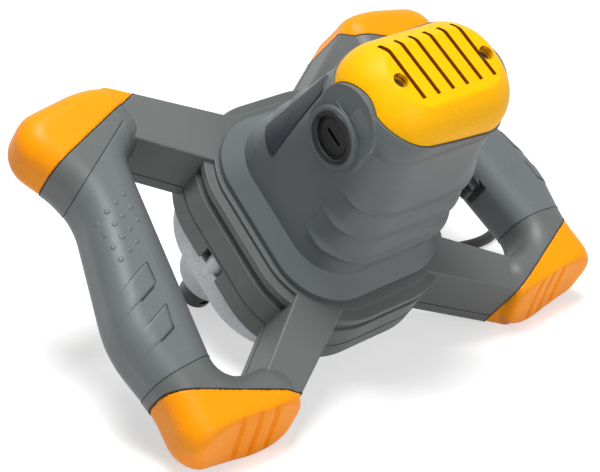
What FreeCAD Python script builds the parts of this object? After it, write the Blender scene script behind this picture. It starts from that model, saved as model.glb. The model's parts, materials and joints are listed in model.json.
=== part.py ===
"""Two-handed electric mixing drill, resting on two corner bumpers and its spindle nose.

Every piece is drawn in the tool's own axes: X runs from handle to handle, Y along the
grips and Z up the motor axis. One shared placement then tips the tool onto the floor.
"""
import FreeCAD
import Part
import math
import os
import Sketcher
from FreeCAD import Placement, Rotation, Vector

# Driving dimensions in millimetres, angles in degrees and counts, grouped by piece.
SIZES = {
    # Fits and cuts
    "running_clearance": 0.06,
    "seat_clearance": 0.03,
    "sliding_clearance": 0.35,
    "seam_gap": 0.4,
    "overrun": 200.0,
    # Handle frame
    "frame_half_width": 165.0,
    "frame_half_length": 115.0,
    "frame_top": 20.0,
    "frame_bottom": 20.0,
    "frame_split": 13.0,
    "frame_round": 14.5,
    "frame_under_round": 14.5,
    "end_round": 16.0,
    "bulge_round": 30.0,
    "corner_round": 20.0,
    "neck_round": 60.0,
    "swell_round": 70.0,
    "waist_round": 45.0,
    "elbow_round": 13.0,
    "arm_draft": 4.0,
    "arm_round": 1.6,
    # Hub in the middle of the frame
    "hub_top": 16.0,
    "hub_half_width": 62.0,
    "hub_half_length": 67.5,
    "hub_round": 44.0,
    "ledge_half_width": 67.0,
    "ledge_half_length": 74.0,
    "ledge_round": 50.0,
    "ledge_drop": 3.0,
    "skirt_half_width": 71.0,
    "skirt_half_length": 77.0,
    "skirt_round": 52.0,
    "skirt_bottom": 26.0,
    "hub_mouth_radius": 42.0,
    "hub_roof": 8.0,
    "step_depth": 2.5,
    "step_height": 6.0,
    "notch_width": 17.0,
    # Grip sleeves and bumpers
    "sleeve_wall": 2.4,
    "bumper_groove_radius": 2.4,
    "bumper_groove_depth": 1.4,
    "bumper_groove_pitch": 10.5,
    # Frame screws
    "screw_radius": 2.2,
    "screw_head_radius": 4.2,
    "screw_head_height": 3.0,
    "screw_length": 24.0,
    "screw_boss_radius": 8.5,
    "screw_boss_drop": 9.0,
    # Motor housing
    "flange_half_width": 59.0,
    "flange_half_length": 62.0,
    "flange_round": 36.0,
    "flange_rise": 4.0,
    "collar_rise": 14.0,
    "motor_half_width": 51.0,
    "motor_half_length": 52.0,
    "motor_round": 30.0,
    "brush_half_length": 40.0,
    "mouth_half_width": 51.0,
    "mouth_half_length": 34.0,
    "mouth_round": 27.0,
    "housing_top": 119.0,
    "housing_wall": 3.0,
    "rib_depth": 1.8,
    "rib_height": 13.0,
    "boss_radius": 20.5,
    "boss_ring_radius": 17.0,
    "boss_reach": 53.5,
    "arch_rise": 13.0,
    # End cap
    "cap_margin": 1.2,
    "cap_shoulder_rise": 19.0,
    "cap_top_rise": 32.0,
    "cap_top_half_width": 37.0,
    "cap_top_half_length": 19.0,
    "cap_wall": 2.6,
    "lip_rise": 12.0,
    "lip_lean": 8.5,
    "slit_width": 2.6,
    "slit_pitch": 10.6,
    "slit_length": 37.0,
    "slit_count": 6,
    "slit_shift": 5.0,
    "slit_lean": 5.0,
    "cap_screw_offset": 32.0,
    "cap_screw_boss_radius": 5.2,
    "cap_screw_seat_drop": 8.0,
    # Brush gear
    "brush_level": 107.0,
    "brush_cap_radius": 12.4,
    "brush_cap_thickness": 5.0,
    "brush_slot_width": 2.0,
    "brush_slot_length": 11.0,
    "holder_width": 13.0,
    "holder_height": 9.0,
    "holder_wall": 1.2,
    "brush_length": 16.0,
    "spring_wire_radius": 0.5,
    # Stator and armature
    "stator_radius": 37.0,
    "stator_bore_radius": 23.4,
    "stator_base": 36.0,
    "stator_length": 46.0,
    "coil_inner_radius": 25.0,
    "coil_outer_radius": 32.5,
    "coil_overhang": 7.0,
    "pole_half_angle": 52.0,
    "armature_radius": 22.8,
    "armature_slots": 12,
    "armature_slot_width": 2.4,
    "armature_slot_depth": 5.0,
    "winding_radius": 20.0,
    "winding_length": 8.0,
    "shaft_radius": 5.0,
    "commutator_radius": 14.0,
    "commutator_length": 17.0,
    "fan_radius": 38.5,
    "fan_disc": 2.0,
    "fan_blade_height": 10.0,
    "fan_blade_count": 11,
    "fan_blade_wall": 1.6,
    "fan_hub_radius": 12.0,
    "fan_level": 11.0,
    # Armature bearings
    "rear_bearing_radius": 11.0,
    "rear_bearing_bore": 4.0,
    "rear_bearing_width": 7.0,
    "rear_bearing_level": 131.0,
    "front_bearing_radius": 13.0,
    "front_bearing_width": 8.0,
    "race_wall": 2.6,
    "race_recess": 0.6,
    # Gear train
    "pressure_angle": 20.0,
    "gear_backlash": 0.22,
    "first_module": 1.0,
    "pinion_teeth": 8,
    "wheel_teeth": 44,
    "second_module": 1.25,
    "lay_pinion_teeth": 10,
    "spindle_teeth": 34,
    "first_gear_top": 9.0,
    "first_gear_width": 9.0,
    "second_gear_top": 22.0,
    "second_gear_width": 16.0,
    "lay_shaft_radius": 4.5,
    "lay_bush_radius": 7.0,
    "lay_bush_length": 7.0,
    "gear_air": 1.5,
    # Gear plate and gearbox housing
    "plate_radius": 60.0,
    "plate_thickness": 11.0,
    "plate_rim": 5.0,
    "box_floor_level": 44.0,
    "box_floor": 7.0,
    "box_wall": 4.5,
    "box_chamfer": 8.0,
    "flare_half_width": 69.0,
    "flare_half_length": 62.0,
    "flare_round": 46.0,
    "lug_radius": 6.5,
    "lug_offset": 63.0,
    "lug_height": 19.0,
    "lug_base": 34.0,
    # Spindle
    "spindle_x": -29.0,
    "spindle_y": 15.0,
    "spindle_radius": 8.5,
    "spindle_bearing_radius": 17.5,
    "spindle_bearing_width": 10.0,
    "spindle_bearing_pitch": 23.0,
    "nose_boss_radius": 21.5,
    "nose_boss_round": 2.0,
    "seal_thickness": 3.0,
    "seal_clearance": 0.2,
    "nose_radius": 11.0,
    "nose_tip": 112.0,
    "nose_chamfer": 1.0,
    "nose_flat_width": 19.0,
    "nose_flat_length": 11.0,
    "thread_radius": 6.0,
    "thread_depth": 22.0,
    "ring_thickness": 1.2,
    "ring_reach": 2.0,
    # Switch, trigger and lock button
    "switch_setback": 13.5,
    "switch_depth": 16.0,
    "switch_front": -26.0,
    "switch_length": 36.0,
    "switch_half_height": 12.0,
    "switch_foot": 5.0,
    "trigger_half_height": 7.0,
    "trigger_proud": 7.0,
    "trigger_travel": 6.0,
    "trigger_flange": 2.2,
    "trigger_flange_wall": 3.0,
    "trigger_round": 3.0,
    "lock_setback": 4.0,
    "lock_y": -8.0,
    "lock_radius": 5.0,
    "lock_proud": 3.0,
    "lock_travel": 2.5,
    "lock_flange": 1.5,
    # Mains cord
    "cord_radius": 3.75,
    "sleeve_x": 76.0,
    "sleeve_y": 75.0,
    "sleeve_length": 34.0,
    "sleeve_root_radius": 8.0,
    "sleeve_tip_radius": 5.6,
    "sleeve_flange_radius": 10.0,
    "sleeve_flange": 3.0,
    "cord_first_run": 38.0,
    "coil_x": 66.0,
    "coil_y": 116.0,
    "coil_turn_radius": 51.0,
    "coil_pitch": 8.2,
    "coil_layer_turns": 2.5,
    "coil_lift": 1.0,
    "coil_lead": 24.0,
    "tie_width": 9.0,
    "tie_wall": 0.8,
    "plug_half_width": 17.0,
    "plug_length": 34.0,
    "plug_neck_radius": 6.0,
    "plug_neck_length": 16.0,
    "pin_radius": 2.4,
    "pin_length": 19.0,
    "pin_spacing": 19.0,
}

# Outline of the right grip with its two bumpers, counter-clockwise, as shares of half width and half length.
BAR_SHARES = [(0.5333, -0.9435), (0.6303, -1.0000), (0.7152, -1.0000), (0.9879, -0.9043),
              (0.9667, -0.6000), (1.0091, -0.2609), (0.8606, 0.4522), (1.0242, 0.8783),
              (0.7152, 1.0000), (0.6303, 1.0000), (0.5333, 0.9435), (0.5091, 0.6348),
              (0.6303, 0.5739), (0.7576, -0.6261), (0.5091, -0.6435)]
BAR_ROUNDS = ["end_round", "bulge_round", "bulge_round", "corner_round", "neck_round",
              "swell_round", "waist_round", "corner_round", "bulge_round", "bulge_round",
              "end_round", "end_round", "elbow_round", "elbow_round", "end_round"]
OUTER_SIDE = slice(4, 8)
INNER_BACK = 12
INNER_FRONT = 13
# Tops of the right arms, counted away from the middle: the ends of the outer edge, then of the inner edge.
FRONT_ARM_SHARES = [(0.0909, 0.4574), (0.6061, 0.9078), (0.6545, 0.7243), (0.2727, 0.3243)]
BACK_ARM_SHARES = [(0.0909, 0.5217), (0.5818, 0.9565), (0.6545, 0.7243), (0.2727, 0.3243)]
# Planes that bound the bumpers and the grip sleeves: a point in frame shares and a lean in degrees.
BUMPER_SEAM_SHARES = (0.7273, 0.7217)
BUMPER_LEAN = 23.0
SLEEVE_FRONT_SHARES = (0.8285, -0.5061)
SLEEVE_FRONT_LEAN = -4.0
SLEEVE_BACK_SHARES = (0.7903, 0.5452)
SLEEVE_BACK_LEAN = 34.0
# Places of screws and bosses as shares of frame half width and half length.
ARM_SCREW_SHARES = (0.3455, 0.5435)
ELBOW_SCREW_SHARES = (0.5545, 0.7304)
MOTOR_SCREW_SHARE = 0.76
PLATE_SCREW_SHARE = 0.88
# Levels of the three ribs round the motor as shares of its height above the collar.
RIB_SHARES = (0.12, 0.32, 0.52)
# Heights of the drawn sections of the motor housing as shares of its height above the collar.
MOTOR_SECTION_SHARES = (0.0, 0.34, 0.70, 1.0)
BUMPER_GROOVE_SHARE = 0.665
CROWN_ROUND_SHARE = 0.9
ADDENDUM_SHARE = 0.75
DEDENDUM_SHARE = 1.25
GEAR_SHIFT_SHARE = 0.5
FLANK_STEPS = 4
SAME_POINT = 1e-6
COIL_STEPS_PER_TURN = 4
# Free cord from the sleeve to the coil: x, y and height above lying flat, as shares of frame_half_width.
CORD_ROUTE_SHARES = [
    (0.5636, 0.9030, 0.2011),
    (0.6727, 1.0485, 0.0860),
    (0.8546, 1.1273, 0.0194),
    (1.0727, 1.0788, 0.0000),
    (1.2485, 0.9212, 0.0000),
    (1.3454, 0.6970, 0.0000),
    (1.3515, 0.4545, 0.0000),
    (1.2728, 0.2242, 0.0000),
    (1.0909, 0.0788, 0.0000),
    (0.8787, 0.1091, 0.0000),
    (0.7394, 0.2546, 0.0012),
    (0.7090, 0.4848, 0.0041),
]
# Share of a run that the arc at its end may take up.
CORD_ARC_SHARE = 0.45


class Length(float):
    """A number from the sheet that carries the expression it came from."""

    def __new__(cls, value, text):
        made = super().__new__(cls, value)
        made.text = text
        return made

    def __add__(self, other):
        return Length(float(self) + float(other), "(%s + %s)" % (self.text, text_of(other)))

    def __radd__(self, other):
        return Length(float(other) + float(self), "(%s + %s)" % (text_of(other), self.text))

    def __sub__(self, other):
        return Length(float(self) - float(other), "(%s - %s)" % (self.text, text_of(other)))

    def __rsub__(self, other):
        return Length(float(other) - float(self), "(%s - %s)" % (text_of(other), self.text))

    def __mul__(self, other):
        return Length(float(self) * float(other), "(%s * %s)" % (self.text, text_of(other)))

    __rmul__ = __mul__

    def __truediv__(self, other):
        return Length(float(self) / float(other), "(%s / %s)" % (self.text, text_of(other)))

    def __neg__(self):
        return Length(-float(self), "(-%s)" % self.text)


def text_of(value):
    """Expression text of a length or of a plain number."""
    return getattr(value, "text", repr(float(value)))


class Sizes:
    """Reads the sheet, one attribute for each alias."""

    def __init__(self, document):
        self.sheet = document.addObject("Spreadsheet::Sheet", "Sizes")
        for row, (alias, value) in enumerate(SIZES.items(), start=1):
            self.sheet.set("A%d" % row, alias)
            self.sheet.set("B%d" % row, str(value))
            self.sheet.setAlias("B%d" % row, alias)
        document.recompute()

    def __getattr__(self, alias):
        return Length(self.sheet.get(alias), "Sizes.%s" % alias)


doc = FreeCAD.newDocument("MixingDrill")
size = Sizes(doc)
pieces = {}
cord_pieces = {}


# Drawing helpers

def cylinder(radius, low, high, x=0, y=0):
    """Upright cylinder between two levels."""
    return Part.makeCylinder(radius, high - low, Vector(x, y, low))


def ring(outer, inner, low, high, x=0, y=0):
    """Upright tube between two levels."""
    return cylinder(outer, low, high, x, y).cut(cylinder(inner, low, high, x, y))


def block(low, high):
    """Box between two opposite corners."""
    span = [float(b) - float(a) for a, b in zip(low, high)]
    return Part.makeBox(span[0], span[1], span[2], Vector(*[float(a) for a in low]))


def tangent_arc(first, corner, last):
    """Arc that leaves the first point towards a corner and reaches the last point coming from it."""
    back = first - corner
    ahead = last - corner
    half = back.getAngle(ahead) / 2
    radius = back.Length * math.tan(half)
    inward = (back + ahead).normalize()
    return Part.Arc(first, corner + inward * (radius / math.sin(half) - radius), last).toShape()


def rounded_outline(corners, level):
    """Closed wire through corners (x, y, radius), each corner a tangent arc or sharp."""
    bends = []
    count = len(corners)
    for index, (x, y, radius) in enumerate(corners):
        here = Vector(x, y, level)
        before = corners[index - 1]
        after = corners[(index + 1) % count]
        back = Vector(before[0], before[1], level) - here
        ahead = Vector(after[0], after[1], level) - here
        reach = radius / math.tan(back.getAngle(ahead) / 2)
        bends.append((here + back.normalize() * reach, here, here + ahead.normalize() * reach))
    edges = []
    for index, (first, corner, last) in enumerate(bends):
        following = bends[(index + 1) % count][0]
        if not first.isEqual(last, SAME_POINT):
            edges.append(tangent_arc(first, corner, last))
        if not last.isEqual(following, SAME_POINT):
            edges.append(Part.LineSegment(last, following).toShape())
    return Part.Wire(edges)


def rounded_rectangle(half_x, half_y, radius, level):
    """Rectangle about the motor axis with round corners."""
    return rounded_outline([(half_x, -half_y, radius), (half_x, half_y, radius),
                            (-half_x, half_y, radius), (-half_x, -half_y, radius)], level)


def prism(wire, height):
    """Solid drawn straight up from a closed wire."""
    return Part.Face(wire).extrude(Vector(0, 0, height))


def half_space(x, y, lean, sign_x, sign_y):
    """Large block beyond a leaning upright plane, outward in Y and towards the corner."""
    reach = size.overrun * 2
    far = Part.makeBox(reach * 2, reach, reach * 2, Vector(-reach, 0, -reach))
    far.rotate(Vector(0, 0, 0), Vector(0, 0, 1), -lean)
    far.translate(Vector(x, y, 0))
    if sign_y < 0:
        far = far.mirror(Vector(0, 0, 0), Vector(0, 1, 0))
    if sign_x < 0:
        far = far.mirror(Vector(0, 0, 0), Vector(1, 0, 0))
    return far


def level_edges(shape, level, accept):
    """Edges that lie wholly at one level and whose middle is accepted."""
    found = []
    for edge in shape.Edges:
        box = edge.BoundBox
        flat = abs(box.ZMin - level) < size.running_clearance and abs(box.ZMax - level) < size.running_clearance
        if flat and accept(edge.CenterOfMass):
            found.append(edge)
    return found


def axis_place(x, y):
    """Placement of a piece turned about an upright axis."""
    return Placement(Vector(x, y, 0), Rotation())


# Document helpers

def keep(label, thing, place=None, on_cord=False):
    """Register a finished document object under its node name."""
    thing.Label = label
    group = cord_pieces if on_cord else pieces
    group[label] = (thing, place or Placement())
    return thing


def solid(label, shape, on_cord=False):
    """A piece whose shape is made with Part's own functions."""
    feature = doc.addObject("Part::Feature", label)
    feature.Shape = shape
    return keep(label, feature, Placement(shape.Placement), on_cord)


def turned(label, outline, place=None, register=True):
    """A body of revolution from (radius, level) corners bound to the sheet."""
    body = doc.addObject("PartDesign::Body", label)
    sketch = body.newObject("Sketcher::SketchObject", label + "_outline")
    plane = [item for item in body.Origin.OriginFeatures if item.Role == "XZ_Plane"][0]
    sketch.AttachmentSupport = [(plane, "")]
    sketch.MapMode = "FlatFace"
    count = len(outline)
    for index, (radius, level) in enumerate(outline):
        after = outline[(index + 1) % count]
        start = Vector(float(radius), float(level), 0)
        end = Vector(float(after[0]), float(after[1]), 0)
        sketch.addGeometry(Part.LineSegment(start, end), False)
    for index in range(count):
        sketch.addConstraint(Sketcher.Constraint("Coincident", index, 2, (index + 1) % count, 1))
    for index, corner in enumerate(outline):
        for kind, value in zip(("DistanceX", "DistanceY"), corner):
            bind_corner(sketch, index, kind, value)
    revolution = body.newObject("PartDesign::Revolution", label + "_turn")
    revolution.Profile = sketch
    revolution.ReferenceAxis = (sketch, ["V_Axis"])
    revolution.Angle = 360
    doc.recompute()
    if register:
        keep(label, body, place)
    return body


def bind_corner(sketch, index, kind, value):
    """Tie one coordinate of a sketch corner to its sheet expression, or to the axis where it is zero."""
    if float(value) == 0:
        axis = -2 if kind == "DistanceX" else -1
        sketch.addConstraint(Sketcher.Constraint("PointOnObject", index, 1, axis))
        return
    number = sketch.addConstraint(Sketcher.Constraint(kind, -1, 1, index, 1, float(value)))
    sketch.setExpression("Constraints[%d]" % number, text_of(value))


def bearing(label, outer, bore, low, width, x=0, y=0):
    """Ball bearing with its race gap sunk into both faces."""
    high = low + width
    inner = bore + size.running_clearance
    shoulder = inner + size.race_wall * 0.5
    rim = outer - size.race_wall * 0.5
    recess = size.race_recess
    return turned(label, [(inner, low), (shoulder, low), (shoulder, low + recess), (rim, low + recess),
                          (rim, low), (outer, low), (outer, high), (rim, high), (rim, high - recess),
                          (shoulder, high - recess), (shoulder, high), (inner, high)], axis_place(x, y))


def screw(x, y, head_level, upward, length):
    """Pan head screw on an upright axis, its shank pointing up or down from the head level."""
    sign = 1 if upward else -1
    shank = Part.makeCylinder(size.screw_radius, length, Vector(x, y, head_level), Vector(0, 0, sign))
    head = Part.makeCylinder(size.screw_head_radius, size.screw_head_height,
                             Vector(x, y, head_level), Vector(0, 0, -sign))
    return shank.fuse(head).removeSplitter()


# Gears

def involute(angle):
    return math.tan(angle) - angle


def gear(teeth, module, shift_share, phase, low, high):
    """Spur gear with involute flanks, one tooth centred on the phase angle."""
    pressure = math.radians(size.pressure_angle)
    pitch = module * teeth / 2
    base = pitch * math.cos(pressure)
    tip = pitch + module * (ADDENDUM_SHARE + shift_share)
    root = pitch - module * (DEDENDUM_SHARE - shift_share)
    half = (math.pi / 2 + 2 * shift_share * math.tan(pressure)) / teeth - size.gear_backlash / (4 * pitch)
    foot = max(base, root)
    radii = [foot + (tip - foot) * step / FLANK_STEPS for step in range(FLANK_STEPS + 1)]
    flank = [(r, half + involute(pressure) - involute(math.acos(min(1.0, base / r)))) for r in radii]
    if root < foot:
        flank.insert(0, (root, flank[0][1]))
    corners = []
    for tooth in range(int(teeth)):
        middle = phase + 2 * math.pi * tooth / teeth
        side = [(r, middle - spread) for r, spread in flank]
        other = [(r, middle + spread) for r, spread in reversed(flank)]
        corners += [Vector(r * math.cos(a), r * math.sin(a), low) for r, a in side + other]
    return prism(Part.makePolygon(corners + corners[:1]), high - low)


def lay_axis():
    """Place of the intermediate shaft, from the two centre distances."""
    first = size.first_module * (size.pinion_teeth + size.wheel_teeth) / 2
    second = size.second_module * (size.lay_pinion_teeth + size.spindle_teeth) / 2
    apart = math.hypot(size.spindle_x, size.spindle_y)
    along = (first ** 2 - second ** 2 + apart ** 2) / (2 * apart)
    across = math.sqrt(first ** 2 - along ** 2)
    ux = size.spindle_x / apart
    uy = size.spindle_y / apart
    return along * ux - across * uy, along * uy + across * ux


lay_x, lay_y = lay_axis()


# Handle frame, grip sleeves and bumpers

def scaled_corners(shares, rounds):
    """Outline corners in millimetres from shares of the frame's half width and half length."""
    corners = []
    for (x, y), name in zip(shares, rounds):
        corners.append((x * size.frame_half_width, y * size.frame_half_length, getattr(size, name)))
    return corners


def side_bar():
    """Right grip with a bumper at each end, in one bar with rounded edges."""
    low = -size.frame_bottom
    bar = prism(rounded_outline(scaled_corners(BAR_SHARES, BAR_ROUNDS), low),
                size.frame_top + size.frame_bottom)
    bar = bar.makeFillet(size.frame_round, level_edges(bar, size.frame_top, lambda middle: True))
    return bar.makeFillet(size.frame_under_round, level_edges(bar, low, lambda middle: True))


def arm(shares):
    """One right arm, drawn on the back side: a flat beam from the hub into the elbow, wider at the bottom."""
    top = [Vector(x * size.frame_half_width, y * size.frame_half_length, size.hub_top) for x, y in shares]
    level = Vector(0, 0, -size.frame_bottom - size.hub_top)
    bottom = []
    for first, last, spread in ((top[0], top[1], size.arm_draft), (top[2], top[3], size.arm_draft)):
        heading = (last - first).normalize()
        outward = Vector(-heading.y, heading.x, 0) * spread
        bottom += [first + outward + level, last + outward + level]
    beam = Part.makeLoft([Part.makePolygon(bottom + bottom[:1]), Part.makePolygon(top + top[:1])], True, True)
    long_edges = [edge for edge in level_edges(beam, size.hub_top, lambda middle: True)
                  if edge.Length > size.hub_half_length]
    return beam.makeFillet(size.arm_round, long_edges)


def frame_block():
    """Both grips with their bumpers, joined to the middle by four arms."""
    bar = side_bar()
    front = arm(FRONT_ARM_SHARES).mirror(Vector(0, 0, 0), Vector(0, 1, 0))
    right = bar.fuse([arm(BACK_ARM_SHARES), front])
    return right.fuse(right.mirror(Vector(0, 0, 0), Vector(1, 0, 0)))


def hub_bell(inset):
    """Bell-shaped hub between the ledge below its roof and the lower edge of the skirt."""
    top = rounded_rectangle(size.ledge_half_width - inset, size.ledge_half_length - inset,
                            size.ledge_round - inset, size.hub_top - size.ledge_drop)
    bottom = rounded_rectangle(size.skirt_half_width - inset, size.skirt_half_length - inset,
                               size.skirt_round - inset, -size.skirt_bottom)
    return Part.makeLoft([bottom, top], True, False)


def hub_plate(height):
    """Upright prism on the outline of the hub's roof, from the ledge upwards."""
    return prism(rounded_rectangle(size.hub_half_width, size.hub_half_length, size.hub_round,
                                   size.hub_top - size.ledge_drop), height)


def stepped_hub():
    """Hub with its raised roof and the shallow step that runs round it."""
    whole = hub_bell(0)
    high = size.hub_top - size.ledge_drop - size.step_height * 0.7
    band = block((-size.overrun, -size.overrun, high - size.step_height), (size.overrun, size.overrun, high))
    return whole.cut(band.cut(hub_bell(size.step_depth))).fuse(hub_plate(size.ledge_drop))


def inner_line(y):
    """X of the straight inner side of the right grip at a given Y."""
    x1, y1 = BAR_SHARES[INNER_FRONT]
    x2, y2 = BAR_SHARES[INNER_BACK]
    slope = (x2 - x1) / (y2 - y1)
    return (x1 + (y / size.frame_half_length - y1) * slope) * size.frame_half_width


def sleeve_zone():
    """Upright block that holds the right grip sleeve, between its two leaning end planes."""
    far = size.frame_half_width + size.frame_top
    corners = []
    for (share_x, share_y), lean in ((SLEEVE_FRONT_SHARES, SLEEVE_FRONT_LEAN),
                                     (SLEEVE_BACK_SHARES, -SLEEVE_BACK_LEAN)):
        slope = math.tan(math.radians(lean))
        x = share_x * size.frame_half_width
        y = share_y * size.frame_half_length
        tilt = (inner_line(size.frame_half_length) - inner_line(0)) / size.frame_half_length
        meet = (y + (inner_line(0) - size.sleeve_wall - x) * slope) / (1 - tilt * slope)
        corners.append((inner_line(meet) - size.sleeve_wall, meet, far, y + (far - x) * slope))
    front, back = corners
    outline = [(front[0], front[1]), (front[2], front[3]), (back[2], back[3]), (back[0], back[1])]
    low = -size.frame_bottom - size.sleeve_wall
    points = [Vector(x, y, low) for x, y in outline]
    return prism(Part.makePolygon(points + points[:1]),
                 size.frame_top + size.frame_bottom + size.sleeve_wall * 2)


def grip_core():
    """What the right grip sleeve is moulded over: the grip bar less the sleeve's wall."""
    wall = size.sleeve_wall
    side = scaled_corners(BAR_SHARES[OUTER_SIDE], BAR_ROUNDS[OUTER_SIDE])
    corners = [(x - wall, y, radius) for x, y, radius in side]
    front = corners[0][1]
    back = corners[-1][1]
    corners[0] = (corners[0][0], front, 0)
    corners[-1] = (corners[-1][0], back, 0)
    corners.append((inner_line(back) + wall, back, 0))
    corners.append((inner_line(front) + wall, front, 0))
    low = wall - size.frame_bottom
    high = size.frame_top - wall
    bar = prism(rounded_outline(corners, low), high - low)

    def along_grip(middle):
        return front + wall < middle.y < back - wall

    bar = bar.makeFillet(size.frame_round - wall, level_edges(bar, high, along_grip))
    return bar.makeFillet(size.frame_under_round - wall, level_edges(bar, low, along_grip))


def bumper_zone(sign_x, sign_y, gap):
    """Everything beyond the leaning plane where one bumper begins."""
    lean = math.radians(BUMPER_LEAN)
    x = BUMPER_SEAM_SHARES[0] * size.frame_half_width - gap * math.sin(lean)
    y = BUMPER_SEAM_SHARES[1] * size.frame_half_length - gap * math.cos(lean)
    return half_space(x, y, BUMPER_LEAN, sign_x, sign_y)


def bumper(whole, sign_x, sign_y):
    """One corner bumper with three upright grooves on its end face."""
    made = whole.common(bumper_zone(sign_x, sign_y, 0))
    face = sign_y * (size.frame_half_length + size.bumper_groove_radius - size.bumper_groove_depth)
    for step in (-1, 0, 1):
        x = sign_x * (BUMPER_GROOVE_SHARE * size.frame_half_width + step * size.bumper_groove_pitch)
        made = made.cut(cylinder(size.bumper_groove_radius, -size.overrun, size.overrun, x, face))
    return made


def screw_places():
    """Places of the frame screws with the level of the boss face above each head."""
    places = []
    for shares, drop in ((ARM_SCREW_SHARES, size.screw_boss_drop), (ELBOW_SCREW_SHARES, 0)):
        for sign_x in (-1, 1):
            for sign_y in (-1, 1):
                x = sign_x * shares[0] * size.frame_half_width
                y = sign_y * shares[1] * size.frame_half_length
                places.append((x, y, -size.frame_bottom - drop + size.screw_head_height * 1.5))
    return places


def motor_screw_places():
    """Places of the four screws that come up through the hub into the motor flange."""
    return [(sx * MOTOR_SCREW_SHARE * size.flange_half_width,
             sy * MOTOR_SCREW_SHARE * size.flange_half_length)
            for sx in (-1, 1) for sy in (-1, 1)]


def screw_cut(x, y, head_level, upward, length):
    """Hole and head recess for a screw, open behind the head."""
    sign = 1 if upward else -1
    fit = size.seat_clearance
    shank = Part.makeCylinder(size.screw_radius + fit, length + size.screw_head_height,
                              Vector(x, y, head_level), Vector(0, 0, sign))
    recess = Part.makeCylinder(size.screw_head_radius + fit * 4, size.overrun,
                               Vector(x, y, head_level), Vector(0, 0, -sign))
    return shank.fuse(recess)


motor_screw_head = 2 * size.screw_head_height - size.frame_split
motor_screw_length = size.hub_top + size.collar_rise * 0.2 - motor_screw_head
switch_inner = inner_line(0) + size.switch_setback
lock_x = switch_inner + size.lock_setback


def trigger_outline(grow, inward):
    """Plan of the trigger: a slanted front face beside the grip and straight sides."""
    front = size.switch_front - grow
    back = size.switch_front + size.switch_length + grow
    proud = size.trigger_proud
    deep = switch_inner - size.trigger_travel - size.sliding_clearance + inward
    return [(inner_line(front) - proud, front), (deep, front), (deep, back), (inner_line(back) - proud, back)]


def upright(points, low, high):
    """Prism over a closed outline of straight sides."""
    corners = [Vector(x, y, low) for x, y in points]
    return prism(Part.makePolygon(corners + corners[:1]), high - low)


def switch_pocket():
    """Room for the switch, the trigger's stem and flange, and the lock button in the right grip."""
    fit = size.sliding_clearance
    half = size.switch_half_height + fit
    back = size.switch_front + size.switch_length
    room = block((switch_inner - fit, size.switch_front - fit, -size.frame_split),
                 (switch_inner + size.switch_depth + fit, back + fit, half))
    slot = upright(trigger_outline(fit, size.trigger_travel + fit * 2),
                   -size.trigger_half_height - fit, size.trigger_half_height + fit)
    wide = size.trigger_flange + fit
    deep = switch_inner - size.trigger_travel - fit - size.trigger_flange_wall
    flange = block((deep - fit, size.switch_front - wide, -size.trigger_half_height - wide),
                   (switch_inner, back + wide, size.trigger_half_height + wide))
    button = cylinder(size.lock_radius + fit, -size.overrun, -size.switch_half_height, lock_x, size.lock_y)
    return room.fuse([slot, flange, button])


def make_frame():
    """Both frame shells, both grip sleeves and the four bumpers."""
    whole = frame_block()
    for name, sign_y in (("front", -1), ("back", 1)):
        for side, sign_x in (("left", -1), ("right", 1)):
            solid("bumper_%s_%s" % (name, side), bumper(whole, sign_x, sign_y))
    frame = whole
    for sign_x in (-1, 1):
        for sign_y in (-1, 1):
            frame = frame.cut(bumper_zone(sign_x, sign_y, size.seam_gap))
    sleeve = whole.common(sleeve_zone()).cut(grip_core())
    left_sleeve = sleeve.mirror(Vector(0, 0, 0), Vector(1, 0, 0))
    frame = frame.cut(sleeve).cut(left_sleeve)
    pocket = switch_pocket()
    solid("grip_left", left_sleeve)
    solid("grip_right", sleeve.cut(pocket))
    frame = frame.fuse(stepped_hub())
    plate_top = size.hub_top - size.hub_roof
    bore = size.plate_radius + size.seat_clearance
    frame = frame.cut(cylinder(bore, -size.overrun, plate_top))
    frame = frame.cut(cylinder(size.hub_mouth_radius, 0, size.overrun))
    for x, y, head in screw_places():
        face = head - size.screw_head_height * 1.5
        if face < -size.frame_bottom:
            frame = frame.fuse(cylinder(size.screw_boss_radius, face, -size.frame_split, x, y))
        frame = frame.cut(screw_cut(x, y, head, True, size.screw_length))
    for sign_x in (-1, 1):
        x = sign_x * size.lug_offset
        frame = frame.cut(screw_cut(x, 0, -size.lug_base, True, size.lug_height + size.screw_length))
        notch = block((-size.overrun, -size.notch_width * 0.5, -size.skirt_bottom - size.overrun),
                      (size.overrun, size.notch_width * 0.5, size.lug_height - size.lug_base))
        frame = frame.cut(notch)
    frame = frame.cut(pocket).cut(sleeve_hole())
    half_gap = size.seam_gap * 0.5
    reach = size.overrun
    above = block((-reach, -reach, half_gap - size.frame_split), (reach, reach, reach))
    below = block((-reach, -reach, -reach), (reach, reach, -half_gap - size.frame_split))
    upper = frame.common(above)
    for x, y in motor_screw_places():
        upper = upper.cut(screw_cut(x, y, motor_screw_head, True, motor_screw_length))
    solid("handle_frame_upper", upper)
    solid("handle_frame_lower", frame.common(below))
    shanks = [screw(x, y, head, True, size.screw_length) for x, y, head in screw_places()]
    solid("frame_screws", Part.makeCompound(shanks))
    shanks = [screw(x, y, motor_screw_head, True, motor_screw_length) for x, y in motor_screw_places()]
    solid("motor_screws", Part.makeCompound(shanks))


# Motor housing, end cap and brush gear

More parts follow.
